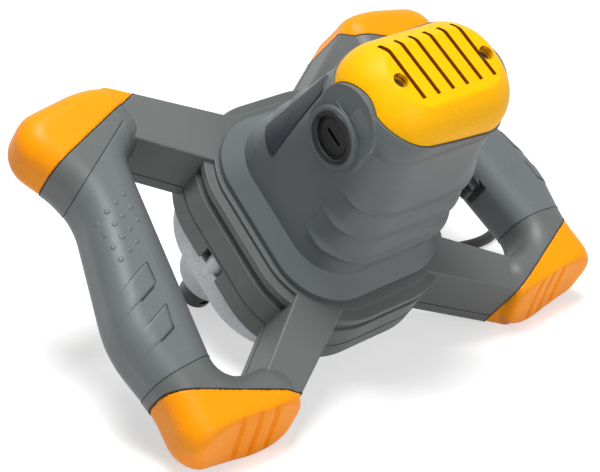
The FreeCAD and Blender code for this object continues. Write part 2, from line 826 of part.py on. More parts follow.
def motor_loft(inset):
    """Outer form of the motor housing above its collar, or the same form drawn in by an inset."""
    base = size.hub_top + size.collar_rise
    middle_length = (size.motor_half_length + size.brush_half_length) * 0.5
    spans = [(size.motor_half_width, size.motor_half_length, size.motor_round),
             (size.motor_half_width, middle_length, size.motor_round),
             (size.motor_half_width, size.brush_half_length, size.motor_round),
             (size.mouth_half_width, size.mouth_half_length, size.mouth_round)]
    sections = []
    for share, (half_x, half_y, radius) in zip(MOTOR_SECTION_SHARES, spans):
        level = base + share * (size.housing_top - base)
        sections.append(rounded_rectangle(half_x - inset, half_y - inset, radius - inset, level))
    return Part.makeLoft(sections, True, False)


def rib(level):
    """Shingle on the front and back of the motor housing that stands out at its lower edge."""
    base = size.hub_top + size.collar_rise
    inset = size.seam_gap
    wires = []
    for height, proud in ((level, size.rib_depth), (level + size.rib_height, -inset)):
        share = (height - base) / (size.housing_top - base)
        half_y = size.motor_half_length + share * (size.mouth_half_length - size.motor_half_length)
        wires.append(rounded_rectangle(size.motor_half_width - inset, half_y + proud, size.motor_round,
                                       height))
    return Part.makeLoft(wires, True, True)


def above_lip(gap):
    """Everything above the parting between motor housing and end cap, which leans both ways."""
    reach = size.overrun
    level = size.housing_top + size.lip_rise + gap
    rise = reach * math.tan(math.radians(size.lip_lean))
    front = [Vector(-reach, 0, level + rise), Vector(reach, 0, level - rise), Vector(reach, 0, level + reach),
             Vector(-reach, 0, level + reach)]
    face = Part.Face(Part.makePolygon(front + front[:1]))
    half = face.extrude(Vector(0, -reach, 0))
    return half.fuse(half.mirror(Vector(0, 0, 0), Vector(0, 1, 0)).mirror(Vector(0, 0, 0), Vector(1, 0, 0)))


def raised_mouth():
    """Wall of the motor housing between its level mouth and the leaning parting."""
    return cap_form(-size.cap_margin, 0).cut(above_lip(0))


def collar():
    """Flange that stands on the hub and slopes in to the motor housing."""
    low = size.hub_top
    rise = rounded_rectangle(size.flange_half_width, size.flange_half_length, size.flange_round, low)
    shoulder = rounded_rectangle(size.flange_half_width, size.flange_half_length, size.flange_round,
                                 low + size.flange_rise)
    neck = rounded_rectangle(size.motor_half_width, size.motor_half_length, size.motor_round,
                             low + size.collar_rise)
    return prism(rise, size.flange_rise).fuse(Part.makeLoft([shoulder, neck], True, True))


def brush_tube(radius, inner, outer, sign, rise=0):
    """Cylinder on or above the brush axis between two distances from the motor axis."""
    start = Vector(sign * inner, 0, size.brush_level + rise)
    return Part.makeCylinder(radius, outer - inner, start, Vector(sign, 0, 0))


wall_face = size.motor_half_width - size.running_clearance


def brush_boss(gap, sign):
    """Boss round the brush cap, with the arch above it that reaches up into the end cap."""
    inner = wall_face - size.housing_wall * 3 - gap
    outer = size.overrun if gap else wall_face
    return brush_tube(size.boss_radius + gap, inner, outer, sign).fuse(
        brush_tube(size.boss_radius + gap, inner, outer, sign, size.arch_rise))


def make_motor_housing():
    outer = motor_loft(0)
    base = size.hub_top + size.collar_rise
    reach = size.overrun
    for share in RIB_SHARES:
        outer = outer.fuse(rib(base + share * (size.housing_top - base)))
    outer = outer.fuse(raised_mouth())
    outer = outer.fuse(collar())
    for sign in (-1, 1):
        outer = outer.fuse(brush_boss(0, sign))
        outer = outer.fuse(brush_tube(size.boss_ring_radius, wall_face - size.housing_wall, size.boss_reach,
                                      sign))
    stator_top = size.stator_base + size.stator_length + size.coil_overhang
    seat = size.stator_radius + size.seat_clearance
    fan_top = size.stator_base - size.housing_wall
    room = cylinder(size.hub_mouth_radius, 0, fan_top).fuse(cylinder(seat, 0, stator_top))
    mouth = motor_loft(size.housing_wall).common(block((-reach, -reach, stator_top), (reach, reach, reach)))
    hollow = outer.cut(room).cut(mouth).cut(cap_form(size.cap_wall, size.cap_wall))
    for sign in (-1, 1):
        post_low = size.housing_top - size.cap_screw_seat_drop
        edge = sorted((sign * (size.cap_screw_offset - size.cap_screw_boss_radius), sign * wall_face))
        post = block((edge[0], -size.cap_screw_boss_radius, post_low),
                     (edge[1], size.cap_screw_boss_radius, size.housing_top))
        hollow = hollow.fuse(post)
        hollow = hollow.fuse(brush_boss(0, sign))
        cap_room = brush_tube(size.brush_cap_radius + size.seat_clearance,
                              size.boss_reach - size.brush_cap_thickness, reach, sign)
        bore = math.hypot(size.holder_width, size.holder_height) * 0.5 + size.seat_clearance
        hollow = hollow.cut(cap_room).cut(brush_tube(bore, 0, reach, sign))
        x = sign * size.cap_screw_offset
        hollow = hollow.cut(screw_cut(x, 0, cap_screw_head, False, size.screw_length))
    for x, y in motor_screw_places():
        hollow = hollow.cut(screw_cut(x, y, motor_screw_head, True, motor_screw_length))
    solid("motor_housing", hollow)


cap_top = size.housing_top + size.cap_top_rise
cap_screw_head = cap_top - size.cap_screw_seat_drop


def cap_form(inset, top_drop):
    """Domed form of the end cap, or its hollow."""
    margin = size.cap_margin + inset
    low = rounded_rectangle(size.mouth_half_width - margin, size.mouth_half_length - margin,
                            size.mouth_round - margin, size.housing_top)
    shoulder = rounded_rectangle(size.mouth_half_width - margin - size.cap_margin,
                                 size.mouth_half_length - margin - size.cap_margin,
                                 size.mouth_round - margin, size.housing_top + size.cap_shoulder_rise)
    crown = rounded_rectangle(size.cap_top_half_width - inset, size.cap_top_half_length - inset,
                              (size.cap_top_half_length - inset) * CROWN_ROUND_SHARE, cap_top - top_drop)
    return Part.makeLoft([low, shoulder, crown], True, False)


def make_end_cap():
    cap = cap_form(0, 0)
    cap = cap.makeFillet(size.cap_wall * 2, level_edges(cap, cap_top, lambda middle: True))
    cap = cap.cut(cap_form(size.cap_wall, size.cap_wall)).common(above_lip(size.seam_gap))
    seat_top = size.rear_bearing_level + size.rear_bearing_width
    outer_seat = size.rear_bearing_radius + size.cap_wall
    holder = cylinder(outer_seat, size.rear_bearing_level, cap_top - size.cap_wall * 0.5)
    cap = cap.fuse(holder)
    for sign in (-1, 1):
        x = sign * size.cap_screw_offset
        post = cylinder(size.cap_screw_boss_radius, size.housing_top, cap_top - size.cap_wall * 1.5, x, 0)
        cap = cap.fuse(post).cut(screw_cut(x, 0, cap_screw_head, False, size.overrun))
        cap = cap.cut(brush_boss(size.seam_gap, sign))
    cap = cap.cut(cylinder(size.rear_bearing_radius + size.seat_clearance, 0, seat_top + size.seat_clearance))
    cap = cap.cut(cylinder(size.shaft_radius, 0, cap_top - size.cap_wall * 2))
    depth = cap_top - size.cap_wall * 3.5
    first = -(size.slit_count - 1) * 0.5
    for step in range(int(size.slit_count)):
        x = (first + step) * size.slit_pitch
        slit = block((x - size.slit_width * 0.5, -size.slit_length * 0.5, depth),
                     (x + size.slit_width * 0.5, size.slit_length * 0.5, size.overrun))
        slit.rotate(Vector(x, 0, 0), Vector(0, 0, 1), size.slit_lean)
        slit.translate(Vector(0, size.slit_shift, 0))
        cap = cap.cut(slit)
    solid("end_cap", cap)
    shanks = [screw(sign * size.cap_screw_offset, 0, cap_screw_head, False, size.screw_length)
              for sign in (-1, 1)]
    solid("end_cap_screws", Part.makeCompound(shanks))


def make_brush_gear():
    """Holder, brush, spring and screw-in cap on both sides of the commutator."""
    half_y = size.holder_width * 0.5
    half_z = size.holder_height * 0.5
    wall = size.holder_wall
    fit = size.running_clearance
    level = size.brush_level
    start = size.commutator_radius + wall
    cap_back = size.boss_reach - size.brush_cap_thickness
    for side, sign in (("left", -1), ("right", 1)):
        def bar(inner, outer, shrink):
            ends = sorted((sign * inner, sign * outer))
            return block((ends[0], shrink - half_y, level + shrink - half_z),
                         (ends[1], half_y - shrink, level + half_z - shrink))
        tube = bar(start, cap_back, 0).cut(bar(0, size.overrun, wall))
        solid("brush_holder_" + side, tube)
        brush_start = size.commutator_radius + size.running_clearance
        solid("carbon_brush_" + side, bar(brush_start, brush_start + size.brush_length, wall + fit))
        spring_outer = half_z - wall - fit * 2
        spring = brush_tube(spring_outer, brush_start + size.brush_length, cap_back, sign)
        spring = spring.cut(brush_tube(spring_outer - size.spring_wire_radius * 2, 0, size.overrun, sign))
        solid("brush_spring_" + side, spring)
        cap = brush_tube(size.brush_cap_radius, cap_back, size.boss_reach - size.rib_depth, sign)
        face = size.boss_reach - size.rib_depth
        groove = brush_tube(size.brush_cap_radius - wall, face - wall * 0.5, face, sign)
        groove = groove.cut(brush_tube(size.brush_cap_radius - wall * 2, 0, size.overrun, sign))
        ends = sorted((sign * (face - size.brush_slot_width), sign * size.overrun))
        slot = block((ends[0], -size.brush_slot_length * 0.5, level - size.brush_slot_width * 0.5),
                     (ends[1], size.brush_slot_length * 0.5, level + size.brush_slot_width * 0.5))
        solid("brush_cap_" + side, cap.cut(groove).cut(slot))


# Stator and armature

def sector(radius, low, high, half_angle, sign):
    """Wedge of a cylinder about the +X or -X direction."""
    wedge = Part.makeCylinder(radius, high - low, Vector(0, 0, low), Vector(0, 0, 1), 2 * half_angle)
    wedge.rotate(Vector(0, 0, 0), Vector(0, 0, 1), -half_angle if sign > 0 else 180 - half_angle)
    return wedge


def make_stator():
    low = size.stator_base
    high = low + size.stator_length
    core = ring(size.stator_radius, size.stator_bore_radius, low, high)
    fit = size.sliding_clearance
    slots = ring(size.coil_outer_radius + fit, size.stator_bore_radius - fit, low, high)
    for sign in (-1, 1):
        slots = slots.cut(sector(size.stator_radius, low, high, size.pole_half_angle, sign))
    solid("stator_core", core.cut(slots))
    over = size.coil_overhang
    for side, sign in (("left", -1), ("right", 1)):
        whole = ring(size.coil_outer_radius, size.coil_inner_radius, low - over, high + over)
        edge = sorted((sign * fit * 2, sign * size.overrun))
        half = whole.common(block((edge[0], -size.overrun, 0), (edge[1], size.overrun, size.overrun)))
        pole = sector(size.stator_radius, low - fit, high + fit, size.pole_half_angle + 1, sign)
        solid("field_coil_" + side, half.cut(pole))


def make_armature():
    shaft = size.shaft_radius
    plate_top = size.hub_top - size.hub_roof
    neck = size.first_module * (size.pinion_teeth / 2 - DEDENDUM_SHARE + GEAR_SHIFT_SHARE)
    pinion_low = -size.first_gear_top - size.first_gear_width - size.gear_air
    pinion_high = -size.first_gear_top + size.gear_air
    rear = size.rear_bearing_level
    bore = size.rear_bearing_bore
    body = turned("armature_blank", [(0, pinion_low), (neck, pinion_low), (neck, pinion_high + size.gear_air),
                                     (shaft, pinion_high + size.gear_air), (shaft, rear - size.gear_air),
                                     (bore, rear - size.gear_air), (bore, rear + size.rear_bearing_width),
                                     (0, rear + size.rear_bearing_width)], register=False)
    phase = math.atan2(lay_y, lay_x)
    teeth = gear(size.pinion_teeth, size.first_module, GEAR_SHIFT_SHARE, phase, pinion_low, pinion_high)
    solid("armature_shaft", body.Shape.fuse(teeth).removeSplitter())
    on_shaft = shaft + size.seat_clearance
    low = size.stator_base
    high = low + size.stator_length
    core = ring(size.armature_radius, on_shaft, low, high)
    for step in range(int(size.armature_slots)):
        slot = block((size.armature_radius - size.armature_slot_depth, -size.armature_slot_width * 0.5, low),
                     (size.stator_radius, size.armature_slot_width * 0.5, high))
        slot.rotate(Vector(0, 0, 0), Vector(0, 0, 1), 360 * step / size.armature_slots)
        core = core.cut(slot)
    solid("armature_core", core)
    lower = ring(size.winding_radius, on_shaft, low - size.winding_length, low)
    upper = ring(size.winding_radius, on_shaft, high, high + size.winding_length)
    soft = size.winding_length * 0.4
    lower = lower.makeFillet(soft, [lower.Edges[index] for index in rim_edges(lower, size.winding_radius)])
    upper = upper.makeFillet(soft, [upper.Edges[index] for index in rim_edges(upper, size.winding_radius)])
    solid("armature_windings", Part.makeCompound([lower, upper]))
    half = size.commutator_length * 0.5
    level = size.brush_level
    turned("commutator", [(on_shaft, level - half - size.gear_air), (size.commutator_radius + size.gear_air,
                                                                      level - half - size.gear_air),
                          (size.commutator_radius + size.gear_air, level - half),
                          (size.commutator_radius, level - half),
                          (size.commutator_radius, level + half), (on_shaft, level + half)])
    make_fan(on_shaft)
    bearing("rear_bearing", size.rear_bearing_radius, size.rear_bearing_bore, rear, size.rear_bearing_width)
    bearing("front_bearing", size.front_bearing_radius, shaft, plate_top - size.front_bearing_width,
            size.front_bearing_width)


def rim_edges(shape, radius):
    """Numbers of the circular edges of one radius."""
    found = []
    for index, edge in enumerate(shape.Edges):
        if hasattr(edge.Curve, "Radius") and abs(edge.Curve.Radius - radius) < SAME_POINT:
            found.append(index)
    return found


def make_fan(on_shaft):
    low = size.fan_level
    high = low + size.fan_disc + size.fan_blade_height
    fan = cylinder(size.fan_radius, low, low + size.fan_disc).fuse(cylinder(size.fan_hub_radius, low, high))
    for step in range(int(size.fan_blade_count)):
        blade = block((size.fan_hub_radius - size.fan_blade_wall, -size.fan_blade_wall * 0.5, low),
                      (size.fan_radius - size.fan_blade_wall, size.fan_blade_wall * 0.5, high))
        blade.rotate(Vector(0, 0, 0), Vector(0, 0, 1), 360 * step / size.fan_blade_count)
        fan = fan.fuse(blade)
    solid("cooling_fan", fan.removeSplitter().cut(cylinder(on_shaft, 0, high)))


# Gearbox

PLATE_SCREW_ANGLES = (-75.0, -20.0, 20.0, 75.0)


def plate_screw_places():
    """Places of the screws that hold the gear plate to the gearbox."""
    radius = PLATE_SCREW_SHARE * size.plate_radius
    return [(radius * math.cos(math.radians(a)), radius * math.sin(math.radians(a)))
            for a in PLATE_SCREW_ANGLES]


plate_top = size.hub_top - size.hub_roof
plate_bottom = plate_top - size.plate_thickness
box_bottom = -size.box_floor_level - size.box_floor
upper_bearing_low = -size.box_floor_level - size.gear_air * 2 - size.spindle_bearing_width
lower_bearing_low = upper_bearing_low - size.spindle_bearing_pitch
seal_low = lower_bearing_low - size.seal_thickness
boss_bottom = seal_low - size.nose_boss_round


def make_gear_plate():
    fit = size.seat_clearance
    plate = cylinder(size.plate_radius, plate_bottom, plate_top)
    rim = ring(size.plate_radius - size.plate_rim, size.front_bearing_radius + size.plate_rim,
               plate_top - size.plate_thickness * 0.4, plate_top)
    lay_wall = cylinder(size.lay_bush_radius + size.plate_rim, plate_bottom, plate_top, lay_x, lay_y)
    columns = [cylinder(size.screw_head_radius + size.plate_rim * 0.5, plate_bottom, plate_top, x, y)
               for x, y in plate_screw_places()]
    plate = plate.cut(rim).fuse(lay_wall).fuse(columns)
    plate = plate.cut(cylinder(size.front_bearing_radius + fit, plate_top - size.front_bearing_width,
                               plate_top))
    plate = plate.cut(cylinder(size.shaft_radius + size.sliding_clearance, plate_bottom, plate_top))
    bush_top = plate_bottom + size.lay_bush_length
    plate = plate.cut(cylinder(size.lay_bush_radius + fit, plate_bottom, bush_top, lay_x, lay_y))
    for x, y in plate_screw_places():
        plate = plate.cut(screw_cut(x, y, plate_top - size.screw_head_height, False, size.screw_length))
    plate = plate.common(cylinder(size.plate_radius, plate_bottom, plate_top))
    solid("gear_plate", plate)
    shanks = [screw(x, y, plate_top - size.screw_head_height, False, size.screw_length)
              for x, y in plate_screw_places()]
    solid("gear_plate_screws", Part.makeCompound(shanks))


def make_gearbox():
    fit = size.seat_clearance
    rim = -size.skirt_bottom - size.seam_gap
    flare = prism(rounded_rectangle(size.flare_half_width, size.flare_half_length, size.flare_round,
                                    box_bottom),
                  rim - box_bottom)
    flare = flare.makeChamfer(size.box_chamfer, level_edges(flare, box_bottom, lambda middle: True))
    box = cylinder(size.plate_radius, rim, plate_bottom).fuse(flare)
    boss = cylinder(size.nose_boss_radius, boss_bottom, -size.box_floor_level, size.spindle_x, size.spindle_y)
    boss = boss.makeFillet(size.nose_boss_round, level_edges(boss, boss_bottom, lambda middle: True))
    box = box.fuse(boss)
    for sign in (-1, 1):
        lug_top = size.lug_height - size.lug_base
        lug = cylinder(size.lug_radius, -size.lug_base, lug_top, sign * size.lug_offset, 0)
        web = block((min(0, sign * size.lug_offset), -size.lug_radius, -size.lug_base),
                    (max(0, sign * size.lug_offset), size.lug_radius, lug_top))
        box = box.fuse(lug).fuse(web)
    room = cylinder(size.plate_radius - size.box_wall, -size.box_floor_level, plate_bottom)
    posts = [cylinder(size.screw_head_radius + size.plate_rim * 0.5, -size.box_floor_level, plate_bottom, x,
                      y)
             for x, y in plate_screw_places()]
    bush_boss = cylinder(size.lay_bush_radius + size.box_wall * 0.5, -size.box_floor_level,
                         size.gear_air - size.box_floor_level, lay_x, lay_y)
    for post in posts + [bush_boss]:
        room = room.cut(post)
    box = box.cut(room)
    bush_top = size.gear_air - size.box_floor_level
    box = box.cut(cylinder(size.lay_bush_radius + fit, bush_top - size.lay_bush_length, bush_top, lay_x,
                           lay_y))
    seat = size.spindle_bearing_radius + fit
    top = -size.box_floor_level
    box = box.cut(cylinder(seat, upper_bearing_low, top, size.spindle_x, size.spindle_y))
    box = box.cut(cylinder(seat - size.race_wall, boss_bottom, top, size.spindle_x, size.spindle_y))
    low = lower_bearing_low - size.seal_thickness - size.overrun
    box = box.cut(cylinder(seat, low, lower_bearing_low + size.spindle_bearing_width, size.spindle_x,
                           size.spindle_y))
    for x, y in plate_screw_places():
        box = box.cut(screw_cut(x, y, plate_top - size.screw_head_height, False, size.screw_length))
    for sign in (-1, 1):
        box = box.cut(screw_cut(sign * size.lug_offset, 0, size.screw_head_height - size.lug_base, True,
                                size.screw_length))
    solid("gearbox_housing", box)
    shanks = [screw(sign * size.lug_offset, 0, size.screw_head_height - size.lug_base, True,
                    size.screw_length)
              for sign in (-1, 1)]
    solid("gearbox_screws", Part.makeCompound(shanks))


def make_lay_shaft():
    """Intermediate shaft with its own pinion, its wheel and two bushes."""
    radius = size.lay_shaft_radius
    wheel_low = -size.first_gear_top - size.first_gear_width
    pinion_high = wheel_low - size.gear_air
    pinion_low = -size.second_gear_top - size.second_gear_width - size.gear_air
    shaft_low = size.gear_air - size.box_floor_level - size.lay_bush_length + size.running_clearance
    shaft_high = plate_bottom + size.lay_bush_length - size.running_clearance
    blank = cylinder(radius, shaft_low, shaft_high, lay_x, lay_y)
    to_spindle = math.atan2(size.spindle_y - lay_y, size.spindle_x - lay_x)
    teeth = gear(size.lay_pinion_teeth, size.second_module, GEAR_SHIFT_SHARE, to_spindle, pinion_low,
                 pinion_high)
    teeth.translate(Vector(lay_x, lay_y, 0))
    solid("intermediate_shaft", blank.fuse(teeth).removeSplitter())
    to_motor = math.atan2(-lay_y, -lay_x)
    wheel = gear(size.wheel_teeth, size.first_module, -GEAR_SHIFT_SHARE,
                 to_motor + math.pi / size.wheel_teeth, wheel_low, -size.first_gear_top)
    wheel.translate(Vector(lay_x, lay_y, 0))
    bore = cylinder(radius + size.seat_clearance, wheel_low, -size.first_gear_top, lay_x, lay_y)
    solid("intermediate_gear", wheel.cut(bore))
    inner = radius + size.running_clearance
    low = size.gear_air - size.box_floor_level - size.lay_bush_length
    for label, level in (("intermediate_bush_lower", low), ("intermediate_bush_upper", plate_bottom)):
        turned(label, [(inner, level), (size.lay_bush_radius, level),
                       (size.lay_bush_radius, level + size.lay_bush_length),
                       (inner, level + size.lay_bush_length)], axis_place(lay_x, lay_y))


def make_spindle():
    place = axis_place(size.spindle_x, size.spindle_y)
    radius = size.spindle_radius
    gear_low = -size.second_gear_top - size.second_gear_width
    top = -size.second_gear_top + size.ring_thickness + size.gear_air * 0.5
    nose_top = boss_bottom - size.gear_air
    tip = -size.nose_tip
    chamfer = size.nose_chamfer
    collar_radius = radius + size.race_wall
    collar_low = upper_bearing_low + size.spindle_bearing_width
    body = turned("spindle_blank", [(0, tip + size.thread_depth),
                                    (size.thread_radius, tip + size.thread_depth),
                                    (size.thread_radius, tip + chamfer), (size.thread_radius + chamfer, tip),
                                    (size.nose_radius - chamfer, tip), (size.nose_radius, tip + chamfer),
                                    (size.nose_radius, nose_top), (radius, nose_top), (radius, collar_low),
                                    (collar_radius, collar_low), (collar_radius, gear_low),
                                    (radius, gear_low),
                                    (radius, top), (0, top)], register=False)
    shape = body.Shape.copy()
    half_flat = size.nose_flat_width * 0.5
    flat_low = tip + size.nose_flat_length * 0.5
    for sign in (-1, 1):
        edge = sorted((sign * half_flat, sign * size.overrun))
        shape = shape.cut(block((-size.overrun, edge[0], flat_low),
                                (size.overrun, edge[1], flat_low + size.nose_flat_length)))
    shape.translate(Vector(size.spindle_x, size.spindle_y, 0))
    solid("spindle", shape)
    to_lay = math.atan2(lay_y - size.spindle_y, lay_x - size.spindle_x)
    wheel = gear(size.spindle_teeth, size.second_module, -GEAR_SHIFT_SHARE,
                 to_lay + math.pi / size.spindle_teeth, gear_low, -size.second_gear_top)
    wheel = wheel.cut(cylinder(radius + size.seat_clearance, gear_low, -size.second_gear_top))
    wheel.translate(Vector(size.spindle_x, size.spindle_y, 0))
    solid("spindle_gear", wheel)
    on_shaft = radius + size.seat_clearance
    turned("spindle_retaining_ring", [(on_shaft, -size.second_gear_top), (radius + size.ring_reach,
                                                                           -size.second_gear_top),
                                      (radius + size.ring_reach, size.ring_thickness - size.second_gear_top),
                                      (on_shaft, size.ring_thickness - size.second_gear_top)], place)
    for label, low in (("spindle_bearing_upper", upper_bearing_low),
                       ("spindle_bearing_lower", lower_bearing_low)):
        bearing(label, size.spindle_bearing_radius, radius, low, size.spindle_bearing_width,
                size.spindle_x, size.spindle_y)
    lip = radius + size.seal_clearance
    rim = size.spindle_bearing_radius
    turned("spindle_seal", [(lip, seal_low), (rim, seal_low), (rim, lower_bearing_low),
                            (lip, lower_bearing_low)],
           place)


# Switch, trigger and lock button

def make_switch():
    half = size.switch_half_height
    back = size.switch_front + size.switch_length
    inner = switch_inner
    outer = inner + size.switch_depth
    case = block((inner, size.switch_front, -half), (outer, back, half))
    for low, high in ((size.switch_front, size.switch_front + size.switch_foot),
                      (back - size.switch_foot, back)):
        case = case.fuse(block((inner, low, -size.frame_split), (outer, high, -half)))
    solid("switch_module", case.removeSplitter())
    stem = upright(trigger_outline(0, 0), -size.trigger_half_height, size.trigger_half_height)
    edges = [edge for edge in stem.Edges if edge.CenterOfMass.x < inner_line(edge.CenterOfMass.y)]
    stem = stem.makeFillet(size.trigger_round, edges)
    deep = inner - size.trigger_travel - size.sliding_clearance
    wide = size.trigger_flange
    flange = block((deep - size.trigger_flange_wall, size.switch_front - wide,
                    -size.trigger_half_height - wide),
                   (deep, back + wide, size.trigger_half_height + wide))
    solid("trigger", stem.fuse(flange).removeSplitter())
    low = -size.frame_bottom - size.lock_proud
    high = -half - size.lock_travel - size.sliding_clearance
    button = cylinder(size.lock_radius, low, high, lock_x, size.lock_y)
    button = button.makeFillet(size.lock_flange, level_edges(button, low, lambda middle: True))
    solid("lock_button", button)


# Mains cord: sleeve, free run, coil, tie and plug

def sleeve_hole():
    """Hole in the arm for the neck and flange of the cord sleeve."""
    fit = size.seat_clearance
    neck = cylinder(size.sleeve_root_radius * 0.8 + fit, -size.overrun, -size.frame_split, size.sleeve_x,
                    size.sleeve_y)
    flange = cylinder(size.sleeve_flange_radius + fit, -size.frame_split,
                      size.sleeve_flange - size.frame_split + fit, size.sleeve_x, size.sleeve_y)
    return neck.fuse(flange)


sleeve_tip = -size.frame_bottom - size.sleeve_length


def make_cord_sleeve():
    neck = size.sleeve_root_radius * 0.8
    flange_low = -size.frame_split + size.seam_gap * 0.5
    outside = -size.frame_bottom - size.seam_gap
    turned("cord_sleeve", [(0, sleeve_tip), (size.sleeve_tip_radius, sleeve_tip),
                           (size.sleeve_root_radius, outside),
                           (neck, outside), (neck, flange_low), (size.sleeve_flange_radius, flange_low),
                           (size.sleeve_flange_radius, flange_low + size.sleeve_flange - size.seam_gap * 0.5),
                           (0, flange_low + size.sleeve_flange - size.seam_gap * 0.5)],
           axis_place(size.sleeve_x, size.sleeve_y))


def rest_tilt():
    """Angle between motor axis and floor when both front bumpers and the spindle nose touch it."""
    under = size.frame_under_round
    bumper_y = size.frame_half_length - under
    bumper_z = under - size.frame_bottom
    across = bumper_y + size.spindle_y - size.nose_radius + size.nose_chamfer
    along = size.nose_tip + bumper_z
    return math.atan2(across, along) + math.asin(under / math.hypot(across, along))


def rest_placement():
    """Placement that tips the tool from its own axes onto the floor."""
    tilt = rest_tilt()
    turn = Rotation(Vector(1, 0, 0), 90 - math.degrees(tilt))
    touch = turn.multVec(Vector(0, size.spindle_y - size.nose_radius + size.nose_chamfer, -size.nose_tip))
    return Placement(Vector(0, 0, -touch.z), turn)


rest = rest_placement()


def cord_points():
    """Route of the free cord from the sleeve tip to the start of the coil."""
    tip = rest.multVec(Vector(size.sleeve_x, size.sleeve_y, sleeve_tip))
    along = rest.Rotation.multVec(Vector(0, 0, -1))
    flat = size.cord_radius + size.running_clearance
    points = [tip, tip + along * size.cord_first_run]
    for x, y, lift in CORD_ROUTE_SHARES:
        span = size.frame_half_width
        points.append(Vector(x * span, y * span, flat + lift * span))
    points.append(coil_point(0) - Vector(0, size.cord_radius * 2, 0))
    return points


def rounded_path(points):
    """Straight runs joined by tangent arcs, with the radii of the arcs."""
    edges = []
    radii = []
    last = points[0]
    for before, here, after in zip(points, points[1:], points[2:]):
        back = before - here
        ahead = after - here
        reach = min(back.Length, ahead.Length) * CORD_ARC_SHARE
        radii.append(reach * math.tan(back.getAngle(ahead) / 2))
        start = here + back.normalize() * reach
        end = here + ahead.normalize() * reach
        edges.append(Part.LineSegment(last, start).toShape())
        edges.append(tangent_arc(start, here, end))
        last = end
    edges.append(Part.LineSegment(last, points[-1]).toShape())
    return Part.Wire(edges), radii


def tube(path, label):
    """Round cord swept along a path, with its volume set against section times length."""
    start = path.Edges[0].Vertexes[0].Point
    heading = path.Edges[0].tangentAt(path.Edges[0].FirstParameter)
    section = Part.Wire(Part.makeCircle(size.cord_radius, start, heading))
    made = path.makePipeShell([section], True, False)
    expected = math.pi * size.cord_radius ** 2 * path.Length
    print("%s: length %.0f, volume share %.4f" % (label, path.Length, made.Volume / expected))
    return made


def coil_point(turns):
    """Middle of the coiled cord after a number of turns: spiral in, climb, spiral out."""
    inward = size.coil_layer_turns
    level = size.cord_radius + size.coil_lift
    if turns <= inward:
        shrink = turns
        climb = 0
    elif turns < inward + 0.5:
        shrink = inward + 2 * (turns - inward) * (inward + 0.5 - turns)
        climb = 0.5 - 0.5 * math.cos((turns - inward) * 2 * math.pi)
    else:
        shrink = 2 * inward + 0.5 - turns
        climb = 1
    radius = size.coil_turn_radius - size.coil_pitch * shrink
    angle = 2 * math.pi * turns
    return Vector(size.coil_x + radius * math.cos(angle), size.coil_y + radius * math.sin(angle),
                  level + climb * size.coil_pitch)


def coil_end():
    """End of the coiled cord, where the plug begins, and its heading."""
    heading = Vector(0, -1, 0)
    return coil_point(2 * size.coil_layer_turns + 0.5) + heading * size.coil_lead, heading


def coil_heading(turns):
    """Direction of the coiled cord after a number of turns."""
    step = 1 / (COIL_STEPS_PER_TURN ** 4)
    return (coil_point(turns + step) - coil_point(turns - step)).normalize()


def pair_of_arcs(first, leave, last, arrive):
    """Two arcs in one sweep from a point and heading to another point and heading."""
    span = last - first
    lean = span.dot(leave + arrive)
    turn = 2 * (1 - leave.dot(arrive))
    reach = (math.sqrt(lean ** 2 + turn * span.dot(span)) - lean) / turn
    near = first + leave * reach
    far = last - arrive * reach
    middle = (near + far) * 0.5
    return [tangent_arc(first, near, middle), tangent_arc(middle, far, last)]


def coil_path():
    """Quarter turns of the coil as arcs, with a straight end at each side."""
    turns = 2 * size.coil_layer_turns + 0.5
    count = int(round(float(turns) * COIL_STEPS_PER_TURN))
    places = [step * float(turns) / count for step in range(count + 1)]
    points = [coil_point(place) for place in places]
    headings = [Vector(0, 1, 0)] + [coil_heading(place) for place in places[1:-1]] + [Vector(0, -1, 0)]
    lead = Vector(0, size.cord_radius * 2, 0)
    edges = [Part.LineSegment(points[0] - lead, points[0]).toShape()]
    for step in range(count):
        edges += pair_of_arcs(points[step], headings[step], points[step + 1], headings[step + 1])
    edges.append(Part.LineSegment(points[-1], points[-1] - Vector(0, size.coil_lead, 0)).toShape())
    return Part.Wire(edges)


def print_coil_gap(path):
    """Least distance between neighbouring loops, measured on points along the cord."""
    points = path.discretize(Distance=float(size.cord_radius))
    skip = int(math.pi * size.coil_turn_radius * 0.5 / size.cord_radius)
    least = min((points[i] - points[j]).Length for i in range(len(points))
                for j in range(i + skip, len(points)))
    print("coil: least gap %.2f, loops %.1f" % (least - 2 * size.cord_radius,
                                                2 * size.coil_layer_turns + 0.5))


def make_tie():
    """Strap round the six cords at the back of the coil."""
    fit = size.sliding_clearance
    inner = coil_point(size.coil_layer_turns - 0.25).y - size.cord_radius - fit
    outer = coil_point(0.25).y + size.cord_radius + fit
    low = size.coil_lift - fit
    high = size.coil_lift + size.coil_pitch + size.cord_radius * 2 + fit
    wall = size.tie_wall
    half = size.tie_width * 0.5
    outside = block((size.coil_x - half, inner - wall, low - wall),
                    (size.coil_x + half, outer + wall, high + wall))
    inside = block((size.coil_x - half, inner, low), (size.coil_x + half, outer, high))
    corners = [edge for edge in outside.Edges if edge.BoundBox.XLength > size.tie_width * 0.9]
    outside = outside.makeFillet(wall * 2, corners)
    corners = [edge for edge in inside.Edges if edge.BoundBox.XLength > size.tie_width * 0.9]
    solid("coil_tie", outside.cut(inside.makeFillet(wall, corners)), True)


